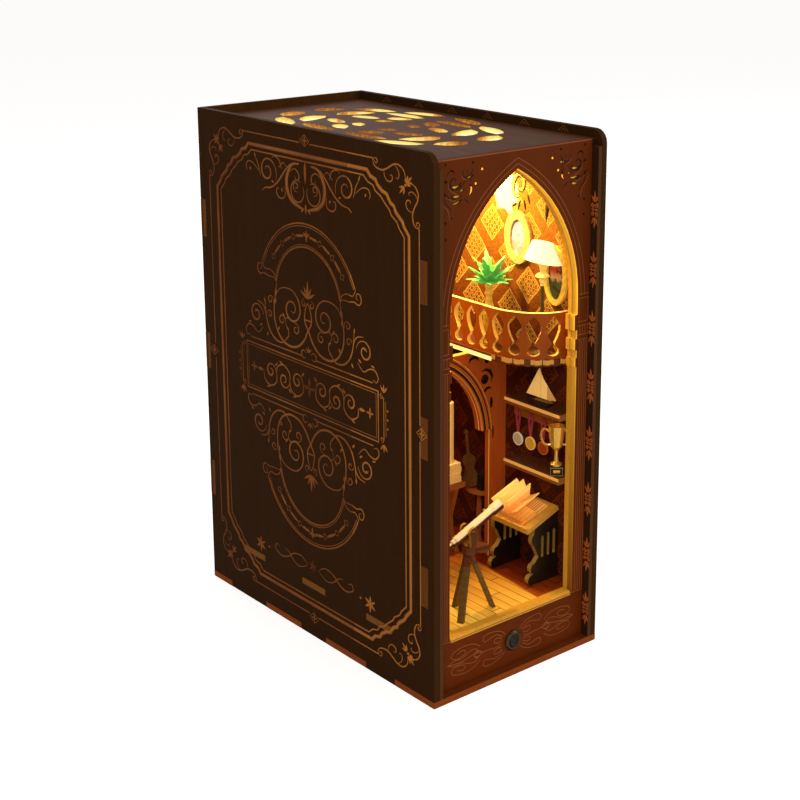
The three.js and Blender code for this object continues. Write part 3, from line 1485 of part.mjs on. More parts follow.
function addLights() {
  const level = sheetTop - diffuser.sheet - seam;
  const mount = new THREE.Group();
  mount.position.set(board.x, board.y, level);
  bookNook.add(mount);
  const disc = turned([[0, -board.sheet], [board.radius, -board.sheet], [board.radius, 0], [0, 0]], 16);
  const dome = turned([
    [0, -lens.height], [lens.radius * 0.6, -lens.height], [lens.radius, -lens.height * 0.4],
    [lens.radius, 0], [0, 0],
  ], 12).translate(0, 0, -board.sheet);
  piece("light_board", join(disc, dome), looks.green, mount);

  const cornerX = -betweenWalls + lead.inset;
  const cornerY = roomRear - lead.inset;
  const trayFront = roomRear - running - tray.depth;
  const ceiling = level - lead.radius - seam;
  const up = wire([
    new THREE.Vector3(-trayHalf - running, cornerY - lead.corner * 3, baseTop + tray.height / 2),
    new THREE.Vector3(cornerX, cornerY - lead.corner * 3, baseTop + tray.height / 2),
    new THREE.Vector3(cornerX, cornerY, baseTop + tray.height / 2 + lead.corner),
    new THREE.Vector3(cornerX, cornerY, ceiling),
    new THREE.Vector3(cornerX, board.y, ceiling),
    new THREE.Vector3(board.x - board.radius - running, board.y, ceiling),
  ]);
  piece("light_lead", up, looks.black);
  const back = -(frontFace - button.barrelLength);
  const switchRear = frontFace + button.barrelLength + seam + button.bodyDepth + running;
  const low = baseTop + lead.radius + seam;
  const under = wire([
    new THREE.Vector3(0, switchRear, button.height),
    new THREE.Vector3(0, switchRear + back / 6, button.height),
    new THREE.Vector3(0, switchRear + back / 4, low),
    new THREE.Vector3(0, trayFront - back / 6, low),
    new THREE.Vector3(0, trayFront - back / 12, baseTop + tray.height / 2),
    new THREE.Vector3(0, trayFront - running, baseTop + tray.height / 2),
  ]);
  piece("switch_lead", under, looks.black);
}

addCovers();
addWallLiners();
addBase();
addFront();
addBack();
addTop();
addFloors();
addRailing();
addScreen();
addShelves();
addMedals();
addTrophy();
addBoat();
addPictures();
addLamp();
addPalm();
addLectern();
addTelescope();
addDesk();
addWallLedge();
addButton();
addBattery();
addLights();

export default bookNook;
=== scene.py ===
"""Looks for a lit book nook: a narrow plywood case with a furnished reading room behind a pointed arch."""

import logging
import math
from dataclasses import dataclass, field
from enum import Enum
from typing import Any, Optional, Sequence, Union

import bmesh
import bpy
from mathutils import Matrix, Vector


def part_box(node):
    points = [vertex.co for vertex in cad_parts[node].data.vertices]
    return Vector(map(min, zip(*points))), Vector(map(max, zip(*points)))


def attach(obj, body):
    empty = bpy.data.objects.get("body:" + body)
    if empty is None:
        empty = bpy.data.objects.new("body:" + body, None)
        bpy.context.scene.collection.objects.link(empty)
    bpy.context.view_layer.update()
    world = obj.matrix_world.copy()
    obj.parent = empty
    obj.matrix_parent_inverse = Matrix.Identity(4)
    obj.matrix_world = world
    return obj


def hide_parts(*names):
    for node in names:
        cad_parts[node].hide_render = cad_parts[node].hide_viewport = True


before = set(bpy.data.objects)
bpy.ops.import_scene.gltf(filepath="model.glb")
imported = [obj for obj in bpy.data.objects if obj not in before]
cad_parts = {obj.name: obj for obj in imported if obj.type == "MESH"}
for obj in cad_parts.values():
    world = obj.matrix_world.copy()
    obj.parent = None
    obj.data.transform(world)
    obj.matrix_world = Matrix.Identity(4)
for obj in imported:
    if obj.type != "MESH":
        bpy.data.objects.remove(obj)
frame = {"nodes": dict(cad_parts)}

MM = 0.001
LOG = logging.getLogger("book_nook")
Colour = tuple[float, float, float]
Point = tuple[float, float]
TAB = 45.5  # half the width between the covers: past it a sheet shows only its tab ends
ROOM_FRONT = -78.2  # front faces of the wall liners
WELD = 0.00001  # metres within which a sheet's points are joined before its edges are rounded
SHARP = math.radians(40)  # from this angle on an edge is rounded
SENSOR = 36.0  # the camera's width in millimetres


class Axis(Enum):
    """A direction of the frame."""

    X = 0
    Y = 1
    Z = 2


# Shader nodes


class Value:
    """What one node gives. Python arithmetic on it adds Math nodes."""

    def __init__(self, bench: "Bench", socket: bpy.types.NodeSocket) -> None:
        """Wraps a socket of a bench's tree."""
        self.bench = bench
        self.socket = socket

    def sum(self, operation: str, *others: "Number") -> "Value":
        """Adds a Math node.

        Args:
            operation: the Math node's operation.
            others: the values after this one.

        Returns:
            The node's value.
        """
        return self.bench.node("ShaderNodeMath", {"operation": operation}, dict(enumerate((self, *others))))

    def __add__(self, other: "Number") -> "Value":
        """Adds."""
        return self.sum("ADD", other)

    __radd__ = __add__

    def __mul__(self, other: "Number") -> "Value":
        """Multiplies."""
        return self.sum("MULTIPLY", other)

    __rmul__ = __mul__

    def __sub__(self, other: "Number") -> "Value":
        """Takes away."""
        return self.sum("SUBTRACT", other)

    def __rsub__(self, other: "Number") -> "Value":
        """Takes this value from a number."""
        return self.bench.node("ShaderNodeMath", {"operation": "SUBTRACT"}, {0: other, 1: self})

    def __truediv__(self, other: "Number") -> "Value":
        """Divides."""
        return self.sum("DIVIDE", other)

    def __pow__(self, other: "Number") -> "Value":
        """Raises to a power."""
        return self.sum("POWER", other)

    def __gt__(self, other: "Number") -> "Value":
        """1 where this value is the greater."""
        return self.sum("GREATER_THAN", other)

    def __lt__(self, other: "Number") -> "Value":
        """1 where this value is the smaller."""
        return self.sum("LESS_THAN", other)

    def __abs__(self) -> "Value":
        """The value without its sign."""
        return self.sum("ABSOLUTE")

    def either(self, other: "Number") -> "Value":
        """The greater of two values."""
        return self.sum("MAXIMUM", other)

    def clamp(self) -> "Value":
        """Keeps the value between 0 and 1."""
        return self.either(0.0).sum("MINIMUM", 1.0)

    def fract(self) -> "Value":
        """The part after the point."""
        return self.sum("FRACT")

    def wave(self) -> "Value":
        """A sine between 0 and 1."""
        return self.sum("SINE") * 0.5 + 0.5

    def hypot(self, other: "Value") -> "Value":
        """Length over two sides at right angles."""
        return (self * self + other * other) ** 0.5

    def ramp(self, low: float, high: float) -> "Value":
        """A soft step from 0 at the low value to 1 at the high one."""
        limits = {"Value": self, "From Min": low, "From Max": high}
        return self.bench.node("ShaderNodeMapRange", {"interpolation_type": "SMOOTHSTEP"}, limits)


Number = Union[float, Value]


def dim(colour: Colour, share: float) -> Colour:
    """A share of a colour."""
    return tuple(c * share for c in colour)


class Bench:
    """The node tree of one material or world, with the one method that makes its nodes."""

    def __init__(self, owner: Union[bpy.types.Material, bpy.types.World]) -> None:
        """Starts an empty tree.

        Args:
            owner: the material or world whose tree it is.
        """
        owner.use_nodes = True
        self.tree = owner.node_tree
        self.tree.nodes.clear()
        self.sources: dict[str, Value] = {}

    def node(
        self, kind: str, settings: Optional[dict[str, Any]] = None, inputs: Optional[dict[Any, Any]] = None,
        output: Union[int, str] = 0,
    ) -> Value:
        """Makes a node.

        Args:
            kind: the node's type.
            settings: its properties, set first; "stops" are a ramp's places and colours.
            inputs: values or links of its sockets, by name or number.
            output: the output that is wanted.

        Returns:
            That output.
        """
        made = self.tree.nodes.new(kind)
        for key, value in (settings or {}).items():
            if key == "stops":
                self._stops(made, value)
            else:
                setattr(made, key, value)
        for key, value in (inputs or {}).items():
            socket = made.inputs[key]
            if isinstance(value, Value):
                self.tree.links.new(value.socket, socket)
            elif isinstance(value, tuple) and len(value) == 3 and socket.type == "RGBA":
                socket.default_value = (*value, 1.0)
            else:
                socket.default_value = value
        return Value(self, made.outputs[output])

    @staticmethod
    def _stops(made: bpy.types.Node, stops: Sequence[tuple[float, Colour]]) -> None:
        """Sets a ramp's stops.

        Args:
            made: the ramp's node.
            stops: its places and colours.
        """
        ramp = made.color_ramp
        while len(ramp.elements) < len(stops):
            ramp.elements.new(1.0)
        for element, (place, colour) in zip(ramp.elements, stops):
            element.position = place
            element.color = (*colour, 1.0)

    def source(self, kind: str) -> Value:
        """A kind of texture coordinates, from one node.

        Args:
            kind: the output of the coordinates' node.

        Returns:
            The coordinates.
        """
        if kind not in self.sources:
            self.sources[kind] = self.node("ShaderNodeTexCoord", output=kind)
        return self.sources[kind]

    def place(self) -> Value:
        """The point on the object, in metres."""
        return self.source("Object")

    def along(self, axis: Axis) -> Value:
        """One coordinate of the point, in millimetres."""
        return self.node("ShaderNodeSeparateXYZ", inputs={0: self.place()}, output=axis.value) * 1000.0

    @property
    def x(self) -> Value:
        """Millimetres to the right."""
        return self.along(Axis.X)

    @property
    def y(self) -> Value:
        """Millimetres to the rear."""
        return self.along(Axis.Y)

    @property
    def z(self) -> Value:
        """Millimetres up."""
        return self.along(Axis.Z)

    def side(self, axis: Axis) -> Value:
        """One coordinate of the surface's normal, from -1 to 1."""
        return self.node("ShaderNodeSeparateXYZ", inputs={0: self.source("Normal")}, output=axis.value)

    def facing(self, axis: Axis) -> Value:
        """How much the surface faces along an axis, from 0 to 1."""
        return abs(self.side(axis))

    def noise(self, scale: float, detail: float, rough: float = 0.55, stretch: Optional[Colour] = None) -> Value:
        """Noise between 0 and 1.

        Args:
            scale: cells per metre.
            detail: octaves.
            rough: strength of the finer octaves.
            stretch: factors for the three coordinates, low along the grain.

        Returns:
            The noise.
        """
        point = self.place()
        if stretch:
            point = self.node("ShaderNodeMapping", inputs={"Vector": point, "Scale": stretch})
        return self.node(
            "ShaderNodeTexNoise", inputs={"Vector": point, "Scale": scale, "Detail": detail, "Roughness": rough}
        )

    def mix(self, share: Number, first: Any, second: Any) -> Value:
        """A colour between two colours."""
        return self.node("ShaderNodeMix", {"data_type": "RGBA"}, {0: share, 6: first, 7: second}, output=2)

    def fade(self, share: Number, colour: Colour, darkest: float) -> Value:
        """A colour that varies between itself and a share of itself."""
        return self.mix(share, colour, dim(colour, darkest))

    def mix_number(self, share: Value, first: Number, second: Number) -> Value:
        """A number between two numbers."""
        return (1.0 - share) * first + share * second

    def times(self, colour: Any, factor: Any) -> Value:
        """A colour times a colour."""
        settings = {"data_type": "RGBA", "blend_type": "MULTIPLY"}
        return self.node("ShaderNodeMix", settings, {0: 1.0, 6: colour, 7: factor}, output=2)

    def scaled(self, colour: Any, factor: Value) -> Value:
        """A colour times a number."""
        return self.node("ShaderNodeVectorMath", {"operation": "SCALE"}, {0: colour, "Scale": factor})

    def stops(self, share: Value, stops: Sequence[tuple[float, Colour]]) -> Value:
        """A colour from a ramp."""
        return self.node("ShaderNodeValToRGB", {"stops": stops}, {0: share})

    def surface(
        self, colour: Any, rough: Number, height: Value, depth: float, lit: Optional[Value] = None,
        glow: float = 0.0, gloss: float = 0.5, **more: Any,
    ) -> None:
        """Ends a material with one Principled shader.

        Args:
            colour: its base colour.
            rough: its roughness.
            height: what its bump follows, from 0 to 1.
            depth: the bump's depth in millimetres.
            lit: the light that it shows, if it shows any.
            glow: that light's strength.
            gloss: its specular level.
            more: other sockets, with spaces in their names as underscores.
        """
        bump = self.node("ShaderNodeBump", inputs={"Height": height, "Distance": depth * MM, "Strength": 1.0})
        rough = rough.clamp() if isinstance(rough, Value) else rough
        sockets = {"Base Color": colour, "Roughness": rough, "Normal": bump, "Specular IOR Level": gloss}
        if lit is not None and glow > 0.0:
            sockets |= {"Emission Color": lit, "Emission Strength": glow}
        sockets |= {name.replace("_", " "): value for name, value in more.items()}
        self.end(self.node("ShaderNodeBsdfPrincipled", inputs=sockets))

    def end(self, shader: Value, kind: str = "ShaderNodeOutputMaterial") -> None:
        """Links a shader to the tree's output."""
        output = self.tree.nodes.new(kind)
        self.tree.links.new(shader.socket, output.inputs["Surface"])


def corner_cuts(b: Bench) -> Value:
    """1 in the arch panel's two upper corners, where its cuts are."""
    return (abs(b.x) + (b.z - 196.0) * 0.45 > 38.0) * (b.z > 190.0)


@dataclass(frozen=True)
class RoomGlow:
    """The warm light that fills the room, strongest under the ceiling."""

    colour: Colour = (1.0, 0.62, 0.2)
    low: float = 20.0
    high: float = 235.0
    floor_share: float = 0.06
    power: float = 2.6
    floor: float = 24.9

    def share(self, b: Bench) -> Value:
        """How strong the light is at a point, from 0 to 1, and nothing outside the room.

        Args:
            b: the bench.

        Returns:
            The share.
        """
        height = ((b.z - self.low) / (self.high - self.low)).clamp() ** self.power
        near = 1.0 - (abs(b.y + 25.0) / 160.0).clamp()
        inside = (b.y > ROOM_FRONT) * (b.z > self.floor)
        return (height * (1.0 - self.floor_share) + self.floor_share) * near * inside

    def on(self, b: Bench, colour: Value, lift: float = 0.0) -> Value:
        """The light that a colour shows, with a share that it shows everywhere."""
        return b.scaled(b.times(colour, self.colour), self.share(b) + lift)


GLOW = RoomGlow()


# Finishes


@dataclass(frozen=True)
class Finish:
    """A material: its name, its tones in the order in which its class unpacks them, and its light's strength."""

    name: str
    tones: tuple[Colour, ...]
    glow: float

    def material(self) -> bpy.types.Material:
        """Makes the material.

        Returns:
            The material.
        """
        made = bpy.data.materials.new(self.name)
        self.paint(Bench(made))
        return made

    def paint(self, b: Bench) -> None:
        """Fills the material's tree."""
        raise NotImplementedError


@dataclass(frozen=True)
class Veneer(Finish):
    """Stained plywood or solid wood with grain, pores and burnt cut edges."""

    across: Axis
    grain: Axis = Axis.Z
    rough: float = 0.5
    coat: float = 0.0
    gloss: float = 0.1

    def paint(self, b: Bench) -> None:
        """Grain on the faces and burnt layers on the edges.

        Args:
            b: the bench of its material.
        """
        face, streak, cut = self.tones
        stretch = tuple(0.07 if axis is self.grain else 1.0 for axis in Axis)
        wide, fine = b.noise(260.0, 4.0, 0.6, stretch), b.noise(1900.0, 2.0, 0.5, stretch)
        share = (wide * 0.75 + fine * 0.35 + b.noise(24.0, 2.0) * 0.3 - 0.25).clamp()
        wood = b.mix((fine > 0.63) * 0.35, b.mix(share, face, streak), dim(face, 0.45))
        layers = (b.along(self.across) * 2.2).fract().ramp(0.2, 0.8)
        char = b.fade(layers * 0.5 + fine * 0.3, cut, 1.7)
        colour = b.mix(b.facing(self.across) > 0.7, char, wood)
        b.surface(colour, share * 0.18 + (self.rough - 0.05), wide * 0.6 + fine * 0.4, 0.05, GLOW.on(b, colour),
                  self.glow, self.gloss, Coat_Weight=self.coat, Coat_Roughness=0.25)


@dataclass(frozen=True)
class ArchPanel(Finish):
    """The red-brown arch sheet: gilt on the edges of its opening with painted light that brightens it upwards, and a
    painted highlight on the ledges in its corner cuts.
    """

    def paint(self, b: Bench) -> None:
        """Grain, gilt walls with painted light that brightens upwards, and burnt cuts with a painted highlight on
        their ledges.

        Args:
            b: the bench of its material.
        """
        face, streak, gilt_in_painted_shade, gilt_in_painted_light, tab = self.tones
        wide, fine = b.noise(240.0, 4.0, 0.6, (1.0, 1.0, 0.06)), b.noise(2100.0, 2.0, stretch=(1.0, 1.0, 0.06))
        share = (wide * 0.6 + fine * 0.35 + b.noise(60.0, 1.0, stretch=(1.0, 1.0, 0.01)) * 0.5 - 0.3).clamp()
        x, z, corner = abs(b.x), b.z, corner_cuts(b)
        wall = (b.facing(Axis.Y) < 0.5) * (x < 43.0) * (z < 234.5) * (z > 26.0)
        height = ((z - 20.0) / 200.0).clamp()
        # painted light: the gilt walls go from a shaded tone low down to a lit tone near the ceiling
        gilt = b.mix(height, gilt_in_painted_shade, gilt_in_painted_light)
        brushed = b.mix(fine * 0.8, gilt, b.times(gilt, (0.6, 0.48, 0.4)))
        # painted highlight: upward faces inside the corner cuts take the lit gilt tone
        ledge = b.side(Axis.Z).ramp(0.35, 0.95) * (b.y + 83.0).ramp(0.2, 1.6)
        burnt = b.mix(ledge, (0.016, 0.006, 0.003), gilt_in_painted_light)
        colour = b.mix(wall, b.mix(share, face, streak), b.mix(corner, brushed, burnt))
        colour = b.mix(x > TAB, colour, b.times(tab, b.mix(fine, (1.3, 1.25, 1.2), (0.7, 0.62, 0.55))))
        # painted glow on the walls, stronger upwards and at the front edge of the opening
        plain = height * 0.45 + 0.22 + (b.y < -82.4) * 1.1 * (height * 0.5 + 0.2)
        lit = b.scaled(colour, wall * b.mix_number(corner, plain, ledge * 0.8))
        b.surface(colour, share * 0.15 + 0.5, wide * 0.5 + fine * 0.5, 0.04, lit, self.glow, 0.04)


@dataclass(frozen=True)
class Gilt(Finish):
    """The arch frame and the sill: gilt near the opening, painted shade on the face behind the corner cuts, burnt tab
    ends outside.
    """

    lift: float

    def paint(self, b: Bench) -> None:
        """Brushed gilt, painted shade behind the corner cuts, and tab ends.

        Args:
            b: the bench of its material.
        """
        gilt, shade, face, tab = self.tones
        grain = b.noise(900.0, 3.0, 0.6, (0.5, 1.0, 1.0))
        gilded = b.mix((grain * 0.7 + b.noise(90.0, 2.0) * 0.4 - 0.2).clamp(), gilt, shade)
        # painted shade: the flat face behind the arch panel's corner cuts takes the near-black tone and no glow
        flat, outside = (b.facing(Axis.Y) > 0.7) * corner_cuts(b), abs(b.x) > TAB
        colour = b.mix(outside, b.mix(flat, gilded, b.fade(grain, face, 0.55)), b.fade(grain, tab, 0.6))
        lit = b.scaled(colour, (GLOW.share(b) + self.lift) * (1.0 - outside) * (1.0 - flat))
        b.surface(colour, grain * 0.2 + 0.36, grain, 0.04, lit, self.glow, 0.12)


@dataclass(frozen=True)
class GalleryEdge(Finish):
    """The gallery floor: a painted highlight on the lip along its straight side, brown round its bend with short bars
    of painted light on its dentils.
    """

    bend: float
    top: float
    pitch: float = 13.6

    def paint(self, b: Bench) -> None:
        """Bars of painted light in pairs under the top, a painted highlight on the lip and painted shade on the
        underside.

        Args:
            b: the bench of its material.
        """
        face, gilt, bright, under = self.tones
        grain = b.noise(900.0, 3.0, 0.6)
        pair = ((b.x - b.y) * 0.72 / self.pitch + 0.18).fract()
        straight = b.y > self.bend
        # painted highlight: the lip along the straight side takes the bright tone
        lip = straight * (b.z < self.top - 1.0)
        # painted light: short bars round the bend take the gilt tone, with brown between them
        bars = (pair < 0.78) * (abs(pair - 0.4) > 0.02) * (b.z > self.top - 2.2) * (1.0 - straight)
        wood = b.fade(grain, face, 0.5)
        trim = b.mix(lip, b.mix(bars, wood, b.fade(grain * 0.7, gilt, 0.5)), bright)
        edge = b.facing(Axis.Z) < 0.7
        # painted shade: the underside takes the darker tone
        colour = b.mix(edge, b.mix(b.side(Axis.Z) < -0.7, wood, under), trim)
        lit = b.scaled(colour, edge * (bars * 0.35 + lip * 0.75) + 0.02)
        b.surface(colour, grain * 0.2 + 0.4, grain, 0.05, lit, self.glow, 0.3)


@dataclass(frozen=True)
class Balustrade(Finish):
    """The bent railing board: brown outside, painted light in a gilt tone on the walls of its openings, and a painted
    highlight along its top.
    """

    middle: Point
    reach: Point
    top: float

    def paint(self, b: Bench) -> None:
        """Wood where the surface faces along the bend's radius; painted light in a gilt tone where it doesn't, and a
        painted highlight on the top.

        Args:
            b: the bench of its material.
        """
        face, streak, gilt, crest = self.tones
        grain = b.noise(800.0, 3.0, 0.6, (1.0, 1.0, 0.12))
        bent = b.y < self.middle[1]
        out_x = b.mix_number(bent, 1.0, (self.middle[0] - b.x) / self.reach[0] ** 2)
        out_y = b.mix_number(bent, 0.0, (self.middle[1] - b.y) / self.reach[1] ** 2)
        # painted light: the walls of the openings take a lit gilt tone in place of the board's wood
        wall = abs((b.side(Axis.X) * out_x + b.side(Axis.Y) * out_y) / out_x.hypot(out_y)) < 0.6
        # painted highlight along the top edge
        top = (b.side(Axis.Z) > 0.7) * (b.z > self.top - 0.8)
        colour = b.mix(wall, b.mix(grain, face, streak), b.mix(top, b.fade(grain, gilt, 0.55), crest))
        lit = b.scaled(colour, wall * (b.y.ramp(-72.0, -20.0) * 0.3 + 0.12) + top * 0.45 + 0.01)
        b.surface(colour, grain * 0.2 + 0.4, grain, 0.05, lit, self.glow, 0.15)


@dataclass(frozen=True)
class Damask(Finish):
    """Printed wallpaper with rows of knotted lozenges, gold upstairs and red downstairs."""

    run: Axis
    level: float = 133.5
    pitch: Point = (25.0, 25.6)
    start: Point = (-43.8, 163.7)
    size: Point = (8.4, 9.2)
    glare: Point = (-27.0, 207.0)

    def lozenge(self, across: Value, up: Value, shift: float) -> Value:
        """One set of the printed lozenges.

        Args:
            across: distance along the wall, in millimetres.
            up: height in millimetres.
            shift: 0 for the even rows and 0.5 for the odd ones.

        Returns:
            1 on the print and 0 on the ground.
        """
        u, v = ((((value - start) / pitch + (0.5 + shift)).fract() - 0.5) * pitch / size for value, start, pitch, size
                in zip((across, up), self.start, self.pitch, self.size))
        p, q = u + v, u - v
        reach = abs(p).either(abs(q))
        cell = ((p * 2.5 + 0.5).fract() - 0.5).hypot((q * 2.5 + 0.5).fract() - 0.5)
        print_share = (abs(cell - 0.34) < 0.085) + (cell < 0.085) + (abs(reach - 0.93) < 0.045)
        return print_share.clamp() * (reach < 1.0)

    def paint(self, b: Bench) -> None:
        """The print, the paper's grit, the sheet's burnt edges, painted light that turns the upper ground to gold
        towards the ceiling, painted shade low in the upper room, and the lamp's glare.

        Args:
            b: the bench of its material.
        """
        upper, lower, upper_print, lower_print = self.tones
        wobble = b.noise(420.0, 2.0) * 0.9
        across, up = b.along(self.run) + wobble, b.z + wobble
        mask = (self.lozenge(across, up, 0.0) + self.lozenge(across, up, 0.5)).clamp()
        speck = b.noise(1100.0, 3.0, 0.75)
        high = b.z.ramp(self.level - 2.0, self.level + 2.0)
        mask = mask * (b.noise(260.0, 2.0) + high * 0.5 > 0.42)
        # painted light: the upper ground turns to a bright gold towards the ceiling lamp
        upper_ground_in_painted_light = b.mix(b.z.ramp(166.0, 214.0), upper, (0.36, 0.165, 0.016))
        # painted shade: a dark band low in the upper room, at the height of the railing
        ground = b.mix(high, lower, b.mix(b.z.ramp(142.0, 168.0), (0.13, 0.03, 0.005), upper_ground_in_painted_light))
        grit = ((speck - 0.45) * 5.0).clamp() * 0.75 + b.noise(45.0, 2.0) * 0.2
        ground = b.mix(grit, b.times(ground, (0.62, 0.5, 0.42)), b.times(ground, (1.35, 1.3, 1.2)))
        colour = b.mix(mask * (speck * 0.8 + 0.35).clamp(), ground, b.mix(high, lower_print, upper_print))
        edge = b.facing(Axis.X if self.run is Axis.Y else Axis.Y) < 0.7
        ends = abs(b.x) > 45.92
        trim = b.mix(edge * (1.0 - ends), (0.03, 0.0105, 0.0035), (0.085, 0.029, 0.007))
        colour = b.mix((b.y < ROOM_FRONT).either(edge), colour, b.mix(ends, trim, (0.14, 0.044, 0.006)))
        away_y, away_z = b.y - self.glare[0], b.z - self.glare[1]
        away = (away_y * away_y + away_z * away_z * 0.8) ** 0.5
        glare = (b.noise(190.0, 0.0) * 9.0 + 5.5 - away).ramp(-0.6, 0.8) * (b.x > 40.0)
        colour = b.mix(glare, colour, (0.8, 0.62, 0.3))
        lit = b.scaled(colour, GLOW.share(b) + glare)
        b.surface(colour, 0.66 - mask * 0.2, mask * 0.7 + speck * 0.3, 0.06, lit, self.glow, 0.08)


@dataclass(frozen=True)
class Planks(Finish):
    """Narrow varnished floor boards that run from front to back."""

    width: float = 5.2
    length: float = 46.0

    def paint(self, b: Bench) -> None:
        """Boards of uneven tone, lit towards the front left and in shadow along the right wall.

        Args:
            b: the bench of its material.
        """
        light, dark, tab = self.tones
        x = b.x / self.width
        board = x.sum("FLOOR")
        length = b.y / self.length + (board * 0.37).fract()
        tone = ((board * 12.9898 + length.sum("FLOOR") * 78.233).sum("SINE") * 437.5).fract()
        grain = b.noise(700.0, 4.0, 0.6, (1.0, 0.05, 1.0))
        wood = b.mix((tone * 0.45 + grain * 0.6 - 0.1).clamp(), light, dark)
        joint = ((abs(x.fract() - 0.5) > 0.462) + (abs(length.fract() - 0.5) > 0.494)).clamp()
        outside = abs(b.x) > TAB
        colour = b.mix(outside, b.mix(joint * 0.75, wood, (0.05, 0.018, 0.006)), tab)
        near = ((8.0 - b.y - b.x * 1.1) / 80.0).clamp()
        shade = (b.x - b.y * 0.099 - 27.9).ramp(-0.8, 0.8) * (1.0 - outside)
        colour = b.mix(near.either(outside), b.times(colour, (0.6, 0.26, 0.22)), colour)
        colour = b.mix(shade, colour, b.times(colour, (0.5, 0.17, 0.12)))
        lit = b.scaled(colour, near * near * (1.0 - outside) * (1.0 - shade))
        b.surface(colour, grain * 0.2 + 0.28 + outside * 0.3, (1.0 - joint) * 0.8 + grain * 0.2, 0.12, lit,
                  self.glow, 0.12)


@dataclass(frozen=True)
class Metal(Finish):
    """Plated or painted metal tone with fine wear."""

    rough: float
    metallic: float

    def paint(self, b: Bench) -> None:
        """Patches and fine scratches of the dull tone.

        Args:
            b: the bench of its material.
        """
        bright, dull = self.tones
        patch, scratch = b.noise(320.0, 3.0, 0.6), b.noise(2600.0, 2.0, stretch=(1.0, 1.0, 0.2))
        share = (patch * 0.7 + scratch * 0.4 - 0.2).clamp()
        colour = b.mix(share, bright, dull)
        b.surface(colour, share * 0.22 + self.rough - 0.06, scratch * 0.5 + patch * 0.5, 0.03,
                  GLOW.on(b, colour, 0.1), self.glow, Metallic=(self.metallic - share * 0.12).clamp())


@dataclass(frozen=True)
class Foil(Finish):
    """Lines on a sheet (foil, print, burnt wood, painted highlights and painted shade), with a painted sheen that
    fades to the rear.
    """

    metallic: float
    rough: float = 0.38

    def paint(self, b: Bench) -> None:
        """A duller tone at random and in the middle of the cover, and painted shade that grows to the rear, where the
        foil's sheen fades.

        Args:
            b: the bench of its material.
        """
        bright, worn_and_shaded = self.tones
        grain = b.noise(1500.0, 3.0, 0.65, (1.0, 1.0, 0.4))
        # painted shade: the lines dull towards the rear, in place of the foil's sheen at the front
        rear, inside = ((b.y + 80.0) / 230.0).clamp(), abs(b.y - 33.0) < 64.0
        share = (grain * 0.5 + b.noise(35.0, 2.0) * 0.8 + rear * 0.35 + inside * 0.45 - 0.45).clamp()
        b.surface(b.mix(share, bright, worn_and_shaded), share * 0.25 + self.rough, grain, 0.03, gloss=0.15,
                  Metallic=(self.metallic - share * 0.25).clamp())


@dataclass(frozen=True)
class Moulded(Finish):
    """Plastic or resin with a fine skin texture, which may be lit from within."""

    rough: float

    def paint(self, b: Bench) -> None:
        """A fine skin and faint clouds.

        Args:
            b: the bench of its material.
        """
        body, shade = self.tones
        skin = b.noise(900.0, 3.0, 0.6)
        colour = b.mix((skin * 0.5 + b.noise(70.0, 2.0) * 0.6 - 0.25).clamp(), body, shade)
        b.surface(colour, skin * 0.18 + self.rough - 0.08, skin, 0.03, b.times(colour, (1.0, 0.96, 0.8)),
                  self.glow, 0.15)


@dataclass(frozen=True)
class LampHeat:
    """Where the light under the top is strong, with its colours from faint to hot."""

    spots: tuple[tuple[float, float, float, float], ...]
    stops: tuple[tuple[float, Colour], ...]

    def share(self, b: Bench) -> Value:
        """How hot the light is at a point, from 0 to 1.

        Args:
            b: the bench.

        Returns:
            The heat.
        """
        near: Number = 0.0
        for x, y, reach, power in self.spots:
            near = (1.35 - (b.x - x).hypot(b.y - y) * 1.35 / reach).clamp() * power + near
        return (near + b.noise(620.0, 3.0, 0.7) * 0.85 - 0.02).clamp()


@dataclass(frozen=True)
class LitSheet(Finish):
    """The milk-white sheet under the pierced top, hot over the lamps and amber away from them."""

    heat: LampHeat

    def paint(self, b: Bench) -> None:
        """The lamps' heat, evened out on the underside.

        Args:
            b: the bench of its material.
        """
        cloud, heat = b.noise(55.0, 3.0), self.heat.share(b)
        shown = b.mix_number(b.side(Axis.Z) < 0.0, heat, heat * 0.3 + 0.7).clamp()
        b.surface(self.tones[0], cloud * 0.2 + 0.5, cloud, 0.02, b.stops(shown, self.heat.stops), self.glow, 0.2)


@dataclass(frozen=True)
class TopSheet(Finish):
    """The pierced top: purple-brown face, dark outer edges, lit walls in its openings."""

    heat: LampHeat
    half: float
    front: float
    rear: float
    low: float = 232.5

    def paint(self, b: Bench) -> None:
        """Grain on the face and the lamps' heat on the openings' walls.

        Args:
            b: the bench of its material.
        """
        face, streak, edge = self.tones
        grain, pores = b.noise(420.0, 4.0, 0.6, (1.0, 0.08, 1.0)), b.noise(2200.0, 2.0, stretch=(1.0, 0.15, 1.0))
        wood = b.mix((grain * 0.8 + pores * 0.3 - 0.1).clamp(), face, streak)
        wall = b.facing(Axis.Z) < 0.7
        inside = wall * (abs(b.x) < self.half) * (b.y > self.front) * (b.y < self.rear)
        depth = ((b.z - self.low) / 3.5).clamp()
        hot = b.stops((self.heat.share(b) * (1.1 - depth * 0.35)).clamp(), self.heat.stops)
        colour = b.mix(wall, wood, b.mix(inside, edge, hot))
        b.surface(b.mix(inside, colour, b.times(colour, (0.4, 0.4, 0.4))), grain * 0.2 + 0.42,
                  grain * 0.6 + pores * 0.4, 0.05, b.scaled(hot, inside * (1.05 - depth * 0.3)), self.glow, 0.08)


